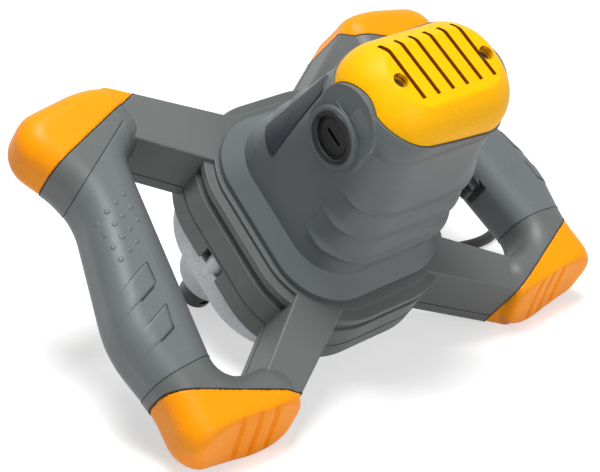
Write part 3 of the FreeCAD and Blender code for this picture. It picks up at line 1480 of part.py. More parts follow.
def make_plug():
    """Two-pin plug that lies on the floor at the end of the coiled cord."""
    end, heading = coil_end()
    axis = end.z
    face = end.y
    shoulder = face - size.plug_neck_length
    front = shoulder - size.plug_length
    low = end.x - size.plug_half_width
    high = end.x + size.plug_half_width
    case = block((low, front, 0), (high, shoulder, axis * 2))
    case = case.makeFillet(axis * 0.45,
                           [edge for edge in case.Edges if edge.BoundBox.YLength > size.plug_length * 0.9])
    neck = Part.makeCone(size.cord_radius + size.plug_neck_radius * 0.2, size.plug_neck_radius * 1.4,
                         size.plug_neck_length, Vector(end.x, face, axis), heading)
    whole = case.fuse(neck)
    for sign in (-1, 1):
        pin = Part.makeCylinder(size.pin_radius, size.pin_length,
                                Vector(end.x + sign * size.pin_spacing * 0.5, front, axis), heading)
        tip = [edge for edge in pin.Edges if abs(edge.BoundBox.YMax - front + size.pin_length) < SAME_POINT]
        whole = whole.fuse(pin.makeFillet(size.pin_radius * 0.5, tip))
    solid("plug", whole.removeSplitter(), True)


def make_cord():
    path, radii = rounded_path(cord_points())
    print("cord: arc radii from %.0f to %.0f" % (min(radii), max(radii)))
    solid("cord", tube(path, "cord"), True)
    path = coil_path()
    print_coil_gap(path)
    solid("cord_coil", tube(path, "cord_coil"), True)
    make_tie()
    make_plug()


# Assembly

def place_all():
    """Tip the tool onto the floor and set the origin under the middle of its box."""
    low = [float("inf")] * 2
    high = [float("-inf")] * 2
    for thing, place in pieces.values():
        shape = thing.Shape.copy()
        shape.Placement = rest.multiply(place)
        box = shape.optimalBoundingBox(False, False)
        low = [min(low[0], box.XMin), min(low[1], box.YMin)]
        high = [max(high[0], box.XMax), max(high[1], box.YMax)]
    shift = Placement(Vector(-(low[0] + high[0]) / 2, -(low[1] + high[1]) / 2, 0), Rotation())
    print("tilt %.2f, shift %.4f %.4f, box %.1f by %.1f" % (math.degrees(rest_tilt()), shift.Base.x,
                                                            shift.Base.y,
                                                            high[0] - low[0], high[1] - low[1]))
    for thing, place in pieces.values():
        thing.Placement = shift.multiply(rest).multiply(place)
    for thing, place in cord_pieces.values():
        thing.Placement = shift.multiply(place)


def export_all():
    doc.recompute()
    for item in doc.Objects:
        if "Invalid" in item.State or "Error" in item.State:
            raise RuntimeError("%s is not up to date: %s" % (item.Label, item.State))
    os.makedirs("parts", exist_ok=True)
    finished = list(pieces.items()) + list(cord_pieces.items())
    bad = [label for label, (thing, place) in finished if thing.Shape.isNull() or not thing.Shape.isValid()]
    if bad:
        raise RuntimeError("no valid shape: %s" % ", ".join(bad))
    for label, (thing, place) in finished:
        thing.Shape.exportStep("parts/%s.step" % label)
    print("%d pieces written" % (len(pieces) + len(cord_pieces)))


make_frame()
make_motor_housing()
make_end_cap()
make_brush_gear()
make_stator()
make_armature()
make_gear_plate()
make_gearbox()
make_lay_shaft()
make_spindle()
make_switch()
make_cord_sleeve()
make_cord()
place_all()
export_all()
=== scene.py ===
import json
import math

import bmesh
import bpy
from mathutils import Matrix, Vector
from mathutils.bvhtree import BVHTree


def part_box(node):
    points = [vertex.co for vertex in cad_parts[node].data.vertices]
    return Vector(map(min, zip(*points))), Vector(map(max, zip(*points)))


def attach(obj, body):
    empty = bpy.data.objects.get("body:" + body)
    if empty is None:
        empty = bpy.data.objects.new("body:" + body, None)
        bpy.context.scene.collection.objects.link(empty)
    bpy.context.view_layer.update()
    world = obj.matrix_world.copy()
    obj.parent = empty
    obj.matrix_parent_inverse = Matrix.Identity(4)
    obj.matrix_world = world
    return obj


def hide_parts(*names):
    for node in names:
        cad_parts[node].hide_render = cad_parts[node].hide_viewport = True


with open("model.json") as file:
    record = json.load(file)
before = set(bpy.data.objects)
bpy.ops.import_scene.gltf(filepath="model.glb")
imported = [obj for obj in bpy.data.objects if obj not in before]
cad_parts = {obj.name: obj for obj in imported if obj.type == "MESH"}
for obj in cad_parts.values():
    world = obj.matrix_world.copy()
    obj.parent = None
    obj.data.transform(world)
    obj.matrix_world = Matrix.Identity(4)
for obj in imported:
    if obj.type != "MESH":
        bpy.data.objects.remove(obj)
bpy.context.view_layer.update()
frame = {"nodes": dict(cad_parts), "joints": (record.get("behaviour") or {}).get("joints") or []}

MM = 0.001

# Tool axes: U from handle to handle, V along the grips, W up the motor, in the row frame.
spin = next(joint for joint in frame["joints"] if joint["name"] == "armature_spin")
ORIGIN = Vector(spin["pos_m"])
U = Vector((1, 0, 0))
W = Vector(spin["axis"]).normalized()
V = W.cross(U)


def along(u, v, w):
    """A direction given in the tool's own axes."""
    return U * u + V * v + W * w


def rest(u, v, w):
    """A point given in the tool's own axes, in millimetres."""
    return ORIGIN + along(u, v, w) * MM


def linear(red, green, blue):
    """Screen colour 0 to 255 as scene linear."""
    return tuple(((c / 255 + 0.055) / 1.055) ** 2.4 if c > 10 else c / 255 / 12.92
                 for c in (red, green, blue))


def shade(colour, factor):
    """A colour made darker or paler."""
    return tuple(min(1, channel * factor) for channel in colour)


def grey(level):
    """A grey in scene linear."""
    return (level,) * 3


def link(piece):
    """Put an object in the scene."""
    bpy.context.scene.collection.objects.link(piece)
    return piece


# Camera

CAMERA_AZIMUTH = math.radians(-42.0)
CAMERA_ELEVATION = math.radians(25.7)
CAMERA_TILT = math.radians(50.2)
CAMERA_PLACE = (-549.9, -218.1, 669.2)
CAMERA_LENS = 90.66
CAMERA_CLIP = (0.05, 20)
SENSOR_WIDTH = 36.0


def tool_direction(x, y, z):
    """A direction of the upright photograph frame in the tool's own axes."""
    return along(x, y * math.sin(CAMERA_TILT) + z * math.cos(CAMERA_TILT),
                 z * math.sin(CAMERA_TILT) - y * math.cos(CAMERA_TILT))


def make_camera():
    """The camera at the photograph's place."""
    a, e = CAMERA_AZIMUTH, CAMERA_ELEVATION
    right = tool_direction(math.cos(a), math.sin(a), 0)
    back = tool_direction(math.sin(a) * math.cos(e), -math.cos(a) * math.cos(e), math.sin(e))
    up = back.cross(right)
    data = bpy.data.cameras.new("camera")
    data.lens = CAMERA_LENS
    data.sensor_width = SENSOR_WIDTH
    data.sensor_fit = "HORIZONTAL"
    data.clip_start, data.clip_end = CAMERA_CLIP
    camera = link(bpy.data.objects.new("camera", data))
    matrix = Matrix((right, up, back)).transposed().to_4x4()
    matrix.translation = rest(*CAMERA_PLACE)
    camera.matrix_world = matrix
    bpy.context.scene.camera = camera


make_camera()

# Mains cord: the route's points in the row frame, in millimetres, y from the tool's own origin.
CORD_RADIUS = 3.75
SLEEVE_TIP = (76, 75, -54)
FIRST_RUN = 38
CORD_ROUTE = [
    (93, 149, 37), (111, 173, 18), (141, 186, 7), (177, 178, 3.81), (206, 152, 3.81), (222, 115, 3.81),
    (223, 75, 3.81), (210, 37, 3.81), (180, 13, 3.81), (145, 18, 3.81), (122, 42, 4.0), (117, 80, 4.5),
]
COIL_CENTRE = (66, 116)
COIL_RADIUS = 51.0
COIL_PITCH = 8.2
COIL_LEVEL = 4.75
COIL_LAYER_TURNS = 2.5
COIL_CLIMB_TURNS = 0.5
COIL_LEAD = 24
POINTS_PER_TURN = 16


def coil_points():
    """Spiral in on the floor, climb one cord, spiral out on top."""
    points = []
    total = 2 * COIL_LAYER_TURNS + COIL_CLIMB_TURNS
    reach = 1 / math.cos(math.pi / POINTS_PER_TURN)
    for step in range(int(total * POINTS_PER_TURN) + 1):
        turns = step / POINTS_PER_TURN
        part = turns - COIL_LAYER_TURNS
        if part <= 0:
            shrink, climb = turns, 0
        elif part < COIL_CLIMB_TURNS:
            shrink = COIL_LAYER_TURNS + 2 * part * (COIL_CLIMB_TURNS - part)
            climb = 0.5 - 0.5 * math.cos(math.pi * part / COIL_CLIMB_TURNS)
        else:
            shrink, climb = total - turns, 1
        radius = (COIL_RADIUS - COIL_PITCH * shrink) * reach
        angle = math.tau * turns
        points.append((COIL_CENTRE[0] + radius * math.cos(angle), COIL_CENTRE[1] + radius * math.sin(angle),
                       COIL_LEVEL + climb * COIL_PITCH))
    return points


def make_cord():
    """The cord from its sleeve to the end of the coil, as one spline."""
    tip = rest(*SLEEVE_TIP)
    points = [tip, tip - W * (FIRST_RUN * MM)]
    shift = Vector((0, ORIGIN.y, 0))
    turns = coil_points()
    start = (COIL_CENTRE[0] + COIL_RADIUS, COIL_CENTRE[1] - 2 * CORD_RADIUS, COIL_LEVEL)
    end = (COIL_CENTRE[0] - COIL_RADIUS, COIL_CENTRE[1] - COIL_LEAD, turns[-1][2])
    for point in CORD_ROUTE + [start] + turns + [end]:
        points.append(Vector(point) * MM + shift)
    curve = bpy.data.curves.new("mains_cord", "CURVE")
    curve.dimensions = "3D"
    spline = curve.splines.new("NURBS")
    spline.points.add(len(points) - 1)
    for target, point in zip(spline.points, points):
        target.co = (*point, 1)
        target.radius = CORD_RADIUS * MM
    spline.order_u = 3
    spline.use_endpoint_u = True
    spline.resolution_u = 6
    # The points carry the tube's radius, so that the curve's bound box is right.
    curve.bevel_depth = 1
    curve.bevel_resolution = 5
    cord = link(bpy.data.objects.new("mains_cord", curve))
    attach(cord, "tool")
    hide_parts("cord", "cord_coil")
    return cord


cord = make_cord()

# Materials: every one is built from the same few parts. Texture scales are per metre of the row frame,
# bump depths and edge widths are in millimetres.
NOISE_SPAN = (0.3, 0.7)
EDGE_SAMPLES = 4
# Painted highlight along the edges of the grey plastics: samples and width of its edge mask, and the span over
# which it fades into the plain faces.
EDGE_HIGHLIGHT_SAMPLES = 6
EDGE_HIGHLIGHT_WIDTH = 1.4
EDGE_HIGHLIGHT_SPAN = (0.9, 0.995)
DRIFT_SCALE = 11
GLOSS_SCALE = 38
GLOSS_SPREAD = 0.08
GRAIN_STRENGTH = 0.35
GRAIN_SHADE = 0.9
PEEL_SCALE = 150
PEEL_STRENGTH = 0.15
PEEL_DEPTH = 0.1


class Look:
    """A procedural material under construction."""

    def __init__(self, name):
        self.made = bpy.data.materials.new(name)
        self.made.use_nodes = True
        self.tree = self.made.node_tree
        self.shader = self.tree.nodes["Principled BSDF"]
        self.place = self.add("ShaderNodeTexCoord").outputs["Object"]

    def put(self, socket, value):
        """Link a node's output to a socket, or set a constant on it."""
        if isinstance(value, bpy.types.NodeSocket):
            self.tree.links.new(value, socket)
        else:
            socket.default_value = value

    def add(self, kind, settings=(), **inputs):
        """A new node with its settings and named inputs."""
        made = self.tree.nodes.new(kind)
        for key, value in settings:
            setattr(made, key, value)
        for key, value in inputs.items():
            self.put(made.inputs[key.replace("_", " ")], value)
        return made

    def dot(self, one, other):
        made = self.add("ShaderNodeVectorMath", [("operation", "DOT_PRODUCT")])
        self.put(made.inputs[0], one)
        self.put(made.inputs[1], other)
        return made.outputs["Value"]

    def noise(self, scale, detail=2.0, place=None):
        return self.add("ShaderNodeTexNoise", Vector=place or self.place, Scale=scale,
                        Detail=detail).outputs["Fac"]

    def turned(self, stretch):
        """Coordinates along the tool's own axes, stretched."""
        x, y, z = (self.dot(self.place, axis * size) for axis, size in zip((U, V, W), stretch))
        return self.add("ShaderNodeCombineXYZ", X=x, Y=y, Z=z).outputs["Vector"]

    def ramp(self, value, *stops):
        """Colours by value: stops of (spot, colour)."""
        made = self.add("ShaderNodeValToRGB", Fac=value)
        elements = made.color_ramp.elements
        while len(elements) < len(stops):
            elements.new(0.5)
        for element, (spot, colour) in zip(elements, stops):
            element.position = spot
            element.color = (*colour, 1)
        return made.outputs["Color"]

    def between(self, value, low, high):
        """One colour to another, over the span where most of a noise lies."""
        return self.ramp(value, (NOISE_SPAN[0], low), (NOISE_SPAN[1], high))

    def span(self, value, low, high):
        return self.add("ShaderNodeMapRange", Value=value, To_Min=low, To_Max=high).outputs["Result"]

    def multiply(self, one, other):
        """Two colours multiplied: 6, 7 and 2 are the Mix node's colour sockets."""
        made = self.add("ShaderNodeMix", [("data_type", "RGBA"), ("blend_type", "MULTIPLY")])
        made.inputs[0].default_value = 1
        self.put(made.inputs[6], one)
        self.put(made.inputs[7], other)
        return made.outputs[2]

    def rounded(self, width, samples):
        """The normal, with corners rounded as wide as given."""
        return self.add("ShaderNodeBevel", [("samples", samples)], Radius=width * MM).outputs["Normal"]

    def edges(self, width):
        """About 1 on plain faces and less near the corners, as wide as given."""
        plain = self.add("ShaderNodeNewGeometry").outputs["Normal"]
        return self.dot(self.rounded(width, EDGE_HIGHLIGHT_SAMPLES), plain)

    def bumps(self, *layers, edge=0.0):
        """Stacked bump layers of (value, strength, depth); edge rounds the corners' shading."""
        normal = self.rounded(edge, EDGE_SAMPLES) if edge else None
        for value, strength, depth in layers:
            made = self.add("ShaderNodeBump", Height=value, Strength=strength, Distance=depth * MM)
            if normal is not None:
                self.put(made.inputs["Normal"], normal)
            normal = made.outputs["Normal"]
        self.put(self.shader.inputs["Normal"], normal)

    def set(self, **inputs):
        """The shader's own inputs."""
        for key, value in inputs.items():
            self.put(self.shader.inputs[key.replace("_", " ")], value)


def plastic(name, colour, roughness, grain=900, depth=0.12, vary=0.07, edge=0.5, shine=0.5, edge_highlight=0.0):
    """Moulded plastic: fine eroded grain, slow drift of colour and gloss, soft edges, and a painted highlight
    that makes the edges paler if given.
    """
    look = Look(name)
    # The colour is raised so that plain faces keep it once the painted edge highlight is taken back off them;
    # edges and corners stay paler.
    colour = shade(colour, 1 / (1 - edge_highlight))
    fine = look.noise(grain, 3)
    base = look.between(look.noise(DRIFT_SCALE, 4), shade(colour, 1 - vary), shade(colour, 1 + vary))
    # Painted highlight: edges and corners paler than the plain faces.
    if edge_highlight:
        highlighted_edges = look.ramp(look.edges(EDGE_HIGHLIGHT_WIDTH), (EDGE_HIGHLIGHT_SPAN[0], grey(1)), (EDGE_HIGHLIGHT_SPAN[1], grey(1 - edge_highlight)))
        base = look.multiply(base, highlighted_edges)
    speck = look.between(fine, grey(GRAIN_SHADE), grey(1))
    gloss = look.span(look.noise(GLOSS_SCALE, 3), roughness - GLOSS_SPREAD, roughness + GLOSS_SPREAD)
    look.set(Base_Color=look.multiply(base, speck), Roughness=gloss, Specular_IOR_Level=shine)
    peel = look.noise(PEEL_SCALE, 2)
    look.bumps((fine, GRAIN_STRENGTH, depth), (peel, PEEL_STRENGTH, PEEL_DEPTH), edge=edge)
    return look.made


def cast(name, colour, grain=620.0, fine_grain=1300, drift=24, dull=0.86, metallic=0.35, edge=0.6):
    """Sand cast light metal: coarse bright grains over a dull skin."""
    look = Look(name)
    grains = look.add("ShaderNodeTexVoronoi", Vector=look.place, Scale=grain).outputs["Distance"]
    fine = look.noise(fine_grain, 4)
    base = look.between(look.noise(drift, 4), shade(colour, dull), colour)
    speck = look.ramp(grains, (0.1, grey(1)), (0.8, (0.8, 0.8, 0.81)))
    look.set(Base_Color=look.multiply(base, speck), Metallic=metallic, Roughness=look.span(fine, 0.45, 0.7))
    look.bumps((grains, 0.5, 0.25), (fine, 0.4, 0.15), edge=edge)
    return look.made


def steel(name, colour, roughness, stretch=(60, 60, 2600), metallic=0.9, drift=45, line_shade=0.84,
          edge=0.3):
    """Turned or drawn metal: fine lines across the tool's axis."""
    look = Look(name)
    lines = look.noise(1, 3, look.turned(stretch))
    base = look.between(look.noise(drift, 3), shade(colour, 0.82), shade(colour, 1.08))
    speck = look.between(lines, grey(line_shade), grey(1))
    look.set(Base_Color=look.multiply(base, speck), Metallic=metallic,
             Roughness=look.span(lines, roughness - 0.08, roughness + 0.12))
    look.bumps((lines, 0.2, 0.05), edge=edge)
    return look.made


def banded(name, dark, light, stretch, roughness, metallic, drift=90, drift_shade=0.8, gloss=200,
           spread=0.07):
    """Wound wire or stacked sheets: even bands along one of the tool's axes."""
    look = Look(name)
    bands = look.add("ShaderNodeTexWave", [("bands_direction", "Z")], Vector=look.turned(stretch), Scale=1.0,
                     Distortion=0.6, Detail=1.0).outputs["Fac"]
    tint = look.between(look.noise(drift, 3), grey(drift_shade), grey(1))
    look.set(Base_Color=look.multiply(look.ramp(bands, (0.2, dark), (0.8, light)), tint), Metallic=metallic,
             Roughness=look.span(look.noise(gloss, 2), roughness - spread, roughness + spread))
    look.bumps((bands, 0.6, 0.2))
    return look.made


LOOKS = {
    # The three greys carry a painted highlight along their edges.
    "frame": plastic("frame_plastic", linear(87, 91, 90), 0.48, edge=0.8, edge_highlight=0.3),
    "motor": plastic("motor_plastic", linear(84, 90, 92), 0.46, edge=0.8, edge_highlight=0.3),
    "grip": plastic("grip_rubber", linear(93, 98, 100), 0.5, grain=650, depth=0.16, edge=0.8, edge_highlight=0.2),
    "orange": plastic("orange_plastic", linear(254, 151, 0), 0.42, grain=700, depth=0.08, vary=0.04,
                      shine=0.18),
    "yellow": plastic("cap_plastic", linear(254, 182, 0), 0.45, grain=700, depth=0.06, vary=0.03,
                      shine=0.12),
    "black": plastic("black_plastic", linear(24, 24, 26), 0.36, grain=700, depth=0.05, vary=0.15),
    "gloss": plastic("gloss_plastic", linear(15, 15, 17), 0.36, grain=700, depth=0.03, vary=0.1,
                     shine=0.3),
    "rubber": plastic("cord_rubber", linear(26, 26, 27), 0.5, grain=500, depth=0.12, vary=0.2, edge=0.3),
    "slit": plastic("slit_shade", linear(176, 96, 8), 0.7, grain=500, depth=0.05, vary=0.2, edge=0.0,
                    shine=0.1),
    # Painted shade: the dark grey of the seam tubes and of the lines round the grip pads stands in for the shadow
    # in gaps and grooves.
    "seam": plastic("seam_shadow", linear(40, 42, 42), 0.7, grain=500, depth=0.05, vary=0.2, edge=0.0),
    "label": plastic("label_film", linear(46, 49, 56), 0.5, grain=260, depth=0.02, vary=0.06, edge=0.1,
                     shine=0.25),
    "cast": cast("cast_metal", linear(206, 208, 212)),
    "steel": steel("ground_steel", linear(176, 177, 180), 0.3),
    "dark_steel": steel("blackened_steel", linear(54, 53, 56), 0.42, metallic=0.5),
    "screw": steel("screw_steel", linear(120, 118, 114), 0.36, (500, 500, 500)),
    "sheets": banded("stacked_sheets", linear(74, 75, 78), linear(128, 129, 132), (0, 0, 4200), 0.45, 0.8),
    "copper": banded("varnished_wire", linear(120, 60, 30), linear(200, 118, 62), (700, 700, 4200), 0.32, 0.8),
    "bronze": steel("sintered_bronze", linear(170, 126, 74), 0.45, (900, 900, 900)),
    "carbon": plastic("pressed_carbon", linear(44, 44, 46), 0.6, grain=900, depth=0.1, vary=0.2),
}

# Which look each node wears, by the start of its name; the first that fits.
WEARS = [
    ("handle_frame", "frame"), ("motor_housing", "motor"), ("grip", "grip"), ("bumper", "orange"),
    ("end_cap_screws", "screw"), ("end_cap", "yellow"), ("frame_screws", "screw"), ("motor_screws", "screw"),
    ("gear_plate_screws", "screw"), ("gearbox_screws", "screw"), ("gearbox_housing", "cast"),
    ("gear_plate", "cast"), ("brush_cap", "gloss"), ("brush_holder", "bronze"), ("brush_spring", "steel"),
    ("carbon_brush", "carbon"), ("stator_core", "sheets"), ("armature_core", "sheets"),
    ("field_coil", "copper"), ("armature_windings", "copper"), ("commutator", "copper"), ("cooling_fan", "black"),
    ("intermediate_bush", "bronze"), ("spindle_seal", "rubber"), ("spindle_bearing", "steel"),
    ("spindle_gear", "steel"), ("spindle", "dark_steel"), ("switch_module", "black"), ("trigger", "black"),
    ("lock_button", "orange"), ("cord", "rubber"), ("coil_tie", "rubber"), ("plug", "rubber"), ("", "steel"),
]
for name, node in frame["nodes"].items():
    look = next(look for start, look in WEARS if name.startswith(start))
    node.data.materials.clear()
    node.data.materials.append(LOOKS[look])
cord.data.materials.append(LOOKS["rubber"])

# Tools for the pieces on the shells: points nearer than WELD, in metres, become one.
WELD = 1e-6


def tree_of(name):
    """Search tree of a node's surface."""
    mesh = frame["nodes"][name].data
    return BVHTree.FromPolygons([vertex.co.copy() for vertex in mesh.vertices],
                                [list(polygon.vertices) for polygon in mesh.polygons])


def piece_from(bm, name, look):
    """A mesh piece that goes with the tool."""
    bmesh.ops.recalc_face_normals(bm, faces=bm.faces[:])
    mesh = bpy.data.meshes.new(name)
    bm.to_mesh(mesh)
    bm.free()
    for polygon in mesh.polygons:
        polygon.use_smooth = True
    mesh.materials.append(LOOKS[look])
    piece = link(bpy.data.objects.new(name, mesh))
    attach(piece, "tool")
    return piece


def stitch(bm, rings):
    """Faces between closed rings of vertices."""
    for low, high in zip(rings, rings[1:]):
        for index in range(len(low)):
            after = (index + 1) % len(low)
            bm.faces.new((low[index], low[after], high[after], high[index]))


def middle_of(outline):
    """The mean of an outline's points."""
    return sum(outline, Vector((0, 0))) / len(outline)


def rounded_corners(corners, radius, steps=6, sides=9):
    """Closed outline with its corners rounded, as points."""
    points = []
    for index, corner in enumerate(corners):
        corner = Vector(corner)
        following = Vector(corners[(index + 1) % len(corners)])
        before = (Vector(corners[index - 1]) - corner).normalized()
        after = (following - corner).normalized()
        start, end = corner + before * radius, corner + after * radius
        for step in range(steps + 1):
            t = step / steps
            points.append(start * (1 - t) ** 2 + corner * 2 * t * (1 - t) + end * t ** 2)
        last = following - after * radius
        for step in range(1, sides):
            points.append(end.lerp(last, step / sides))
    return points


def patch(bm, outline, rings, drop, fade=None):
    """A thin pad on a surface: rings of (share of the outline, lift in millimetres), set down by drop."""
    centre = middle_of(outline)
    rows = []
    for share, lift in rings:
        row = []
        for point in outline:
            spot = centre + (point - centre) * share
            place, normal = drop(spot)
            amount = lift if fade is None or lift < 0 else lift * fade(spot)
            row.append(bm.verts.new(place + normal * (amount * MM)))
        rows.append(row)
    stitch(bm, rows)
    bm.faces.new(rows[-1])


# The cap's air slits, in the tool's own millimetres.
SLIT_LOW = 135
SLIT_HALF_WIDTH = 36
SLIT_HALF_LENGTH = 30
SLIT_WIDEST = 4
SLIT_CLEAR = 0.1
NO_WALL = 1.0


def shade_slits():
    """The floors and sides of the cap's air slits, which lie in shade."""
    mesh = frame["nodes"]["end_cap"].data
    mesh.materials.append(LOOKS["slit"])
    surface = tree_of("end_cap")
    for polygon in mesh.polygons:
        local = (polygon.center - ORIGIN) / MM
        aside = abs(local.dot(U)) > SLIT_HALF_WIDTH or abs(local.dot(V)) > SLIT_HALF_LENGTH
        if aside or local.dot(W) < SLIT_LOW:
            continue
        place = polygon.center + polygon.normal * (SLIT_CLEAR * MM)
        across = max(surface.ray_cast(place, way)[3] or NO_WALL for way in (U, -U))
        if across < SLIT_WIDEST * MM:
            polygon.material_index = 1


shade_slits()

# Grip pads: degrees outward from the top round the grip's middle line, and V.
# Dots in U and V on the left grip, which the right grip mirrors.
GRIP_MIDDLE = -141
GRIP_OUTSIDE = 80
GRIP_ABOVE = 60
PADS = {
    "left": [[(-21, 1.0), (66, -12.5), (62, -24.0), (-17, -11.5)],
             [(-14, -24.4), (60, -35.8), (61, -46.6), (-4, -37.3)]],
    "right": [[(27, 1.0), (80, -12.5), (76, -24.0), (29, -11.5)],
              [(29, -24.4), (75, -35.8), (75, -46.6), (33, -37.3)]],
}
PAD_ROUND = 1.4
PAD_LIFT = 0.6
PAD_FADE = 1.7
PAD_RINGS = [(1.0, -0.3), (1.0, 0.6 * PAD_LIFT)]
PAD_RINGS += [(share, PAD_LIFT) for share in (0.97, 0.8, 0.6, 0.4, 0.2, 0.05)]
LINE_WIDTH = (2.2, 0.8)
LINE_FADE = 4
LINE_RINGS = [(1.0, -0.5), (1.0, 0.1), (0.9, 0.12), (0.6, 0.12), (0.3, 0.12)]
DOT_START = (-123.8, 42.0)
DOT_ACROSS = (-6.9, -3.1)
DOT_ALONG = (-0.3, -8.3)
DOT_ROWS = 4
DOT_COLUMNS = 4
DOT_LEFT_OUT = (3, 0)
DOT_PROFILE = [(1.7, -0.2), (1.5, 0.2), (1.05, 0.42), (0.5, 0.5)]
DOT_SIDES = 14


def make_dot(bm, place, normal):
    """One flat dome on the grip."""
    side_way = normal.cross(V).normalized()
    other_way = normal.cross(side_way)
    rings = []
    for radius, lift in DOT_PROFILE:
        ring = []
        for step in range(DOT_SIDES):
            angle = math.tau * step / DOT_SIDES
            reach = (side_way * math.cos(angle) + other_way * math.sin(angle)) * radius
            ring.append(bm.verts.new(place + (reach + normal * lift) * MM))
        rings.append(ring)
    stitch(bm, rings)
    bm.faces.new(rings[-1])


def dress_grip(side, sign):
    """Pads with thin strips of painted shade round them, and rows of dots."""
    surface = tree_of("grip_" + side)

    def drop(spot):
        """The grip's surface at a place in degrees and V, and the direction off it."""
        turn = math.radians(spot.x)
        outward = along(-sign * math.sin(turn), 0, math.cos(turn))
        start = rest(GRIP_MIDDLE * sign, spot.y, 0) + outward * (GRIP_OUTSIDE * MM)
        return surface.ray_cast(start, -outward)[0], outward

    lines, pads = bmesh.new(), bmesh.new()
    for corners in PADS[side]:
        outline = rounded_corners(corners, PAD_ROUND)
        centre = middle_of(outline)
        inner, outer = corners[0][0], corners[1][0]

        def fade(spot):
            """1 over the inner part of a pad, 0 at its outer end."""
            return min(1, max(0, (outer - spot.x) / (outer - inner)) * PAD_FADE)

        def line_fade(spot):
            """The same for its line, which sinks in sooner."""
            return 1 - LINE_FADE * (1 - fade(spot))

        wide = []
        for point in outline:
            away = point - centre
            aside = -LINE_WIDTH[0] * fade(point) if away.x < 0 else 0
            wide.append(point + Vector((aside, math.copysign(LINE_WIDTH[1], away.y))))
        # The dark strip round each pad is painted shade, standing in for the shadow at its edge.
        patch(lines, wide, LINE_RINGS, drop, line_fade)
        patch(pads, outline, PAD_RINGS, drop, fade)
    piece_from(lines, "grip_pad_shade_lines_" + side, "seam")
    piece_from(pads, "grip_pads_" + side, "grip")

    dots = bmesh.new()
    for row in range(DOT_ROWS):
        for column in range(DOT_COLUMNS):
            if (row, column) == DOT_LEFT_OUT:
                continue
            spot = Vector(DOT_START) + Vector(DOT_ACROSS) * column + Vector(DOT_ALONG) * row
            place, normal, _, _ = surface.ray_cast(rest(spot.x * sign, spot.y, GRIP_ABOVE), -W)
            make_dot(dots, place, normal)
    piece_from(dots, "grip_dots_" + side, "grip")


dress_grip("left", 1)
dress_grip("right", -1)

# Bumpers: the end of each is a leaning facet with three upright grooves, below a soft ridge.
FACET = Vector((0.13, 1.0, 0.36))
FACET_REACH = {"front": 115.6, "back": 127.0}
FACET_CROWN = 4.2
FACET_BULGE = 7.0
FACET_MIDDLE = 122.0
FACET_SIDES = {"inner": 44.0, "outer": 38.0}
RIDGE_SOFT = 5.5
GROOVES = (108.0, 119.0, 130.0)
GROOVE_HALF = 2.0
GROOVE_DEPTH = 2.2
GROOVE_START = 2.0
GROOVE_FADE = 3.0
BUMPER_VOXEL = 1.0
BUMPER_SMOOTHING = (0.5, 4)


def bumper_shape(point, reach):
    """A point of a bumper in millimetres, both signs taken off, after the facet and its grooves."""
    away = FACET.normalized()
    side = point.x - FACET_MIDDLE
    if side < 0:
        crown = FACET_CROWN * (1 - (side / FACET_SIDES["inner"]) ** 2)
    else:
        crown = FACET_CROWN + FACET_BULGE * (side / FACET_SIDES["outer"]) ** 2
    out = point.dot(away) - reach / FACET.length - crown
    if out < -RIDGE_SOFT:
        return point
    back = out if out > RIDGE_SOFT else (out + RIDGE_SOFT) ** 2 / (4 * RIDGE_SOFT)
    below_ridge = min(1, max(0, (out - GROOVE_START) / GROOVE_FADE))
    for groove in GROOVES:
        near = abs(point.x - groove) / GROOVE_HALF
        if near < 1:
            back += GROOVE_DEPTH * (1 - near ** 2) ** 2 * below_ridge
    return point - away * back


def dress_bumper(name, reach, sign_u, sign_v):
    """A bumper in a fine even mesh, with its end shaped."""
    mesh = frame["nodes"][name].data.copy()
    piece = link(bpy.data.objects.new(name + "_shell", mesh))
    bm = bmesh.new()
    bm.from_mesh(mesh)
    bmesh.ops.remove_doubles(bm, verts=bm.verts[:], dist=WELD)
    bm.to_mesh(mesh)
    bm.free()
    remesh = piece.modifiers.new("remesh", "REMESH")
    remesh.mode = "VOXEL"
    remesh.voxel_size = BUMPER_VOXEL * MM
    smooth = piece.modifiers.new("smooth", "SMOOTH")
    smooth.factor, smooth.iterations = BUMPER_SMOOTHING
    fine = bpy.data.meshes.new_from_object(piece.evaluated_get(bpy.context.evaluated_depsgraph_get()))
    piece.modifiers.clear()
    for vertex in fine.vertices:
        local = (vertex.co - ORIGIN) / MM
        point = Vector((local.dot(U) * sign_u, local.dot(V) * sign_v, local.dot(W)))
        shaped = bumper_shape(point, reach)
        if shaped is not point:
            vertex.co = rest(shaped.x * sign_u, shaped.y * sign_v, shaped.z)
    for polygon in fine.polygons:
        polygon.use_smooth = True
    fine.materials.clear()
    fine.materials.append(LOOKS["orange"])
    piece.data = fine
    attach(piece, "tool")
    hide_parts(name)


for along_v, sign_v in (("front", -1), ("back", 1)):
    for side, sign_u in (("left", -1), ("right", 1)):
        dress_bumper("bumper_%s_%s" % (along_v, side), FACET_REACH[along_v], sign_u, sign_v)

# Shingled ribs on the motor's front, in degrees round its axis and millimetres: each lip, given by its level
# and rise, is level in the middle and rises towards the sides.
MOTOR_OUTSIDE = 150
RIB_LIPS = [(47.5, 1.0), (64.0, 5.0), (82.0, 7.5)]
RIB_TURN = (18, 162)
RIB_STEPS = 72
RIB_ENDS = 9
RIB_SINK = 0.4
RIB_BARE = (41.0, 57.0, 74.5, 93.0)
RIB_LIP = [(-3.4, 1.9), (-2.4, 2.1), (-1.0, 3.8), (-0.3, 4.5),
           (0.5, 4.5), (1.3, 3.7), (2.4, 2.9), (4.5, 2.5)]
RIB_START = (-5.0, 1.2)
RIB_FINISH = [(11.0, 1.0), (17.0, -0.2)]


def reach_of(surface, outward, level):
    """How far a surface is from the motor's axis at one level, in millimetres."""
    axis = rest(0, 0, level)
    hit = surface.ray_cast(axis + outward * (MOTOR_OUTSIDE * MM), -outward)[0]
    return (hit - axis).length / MM


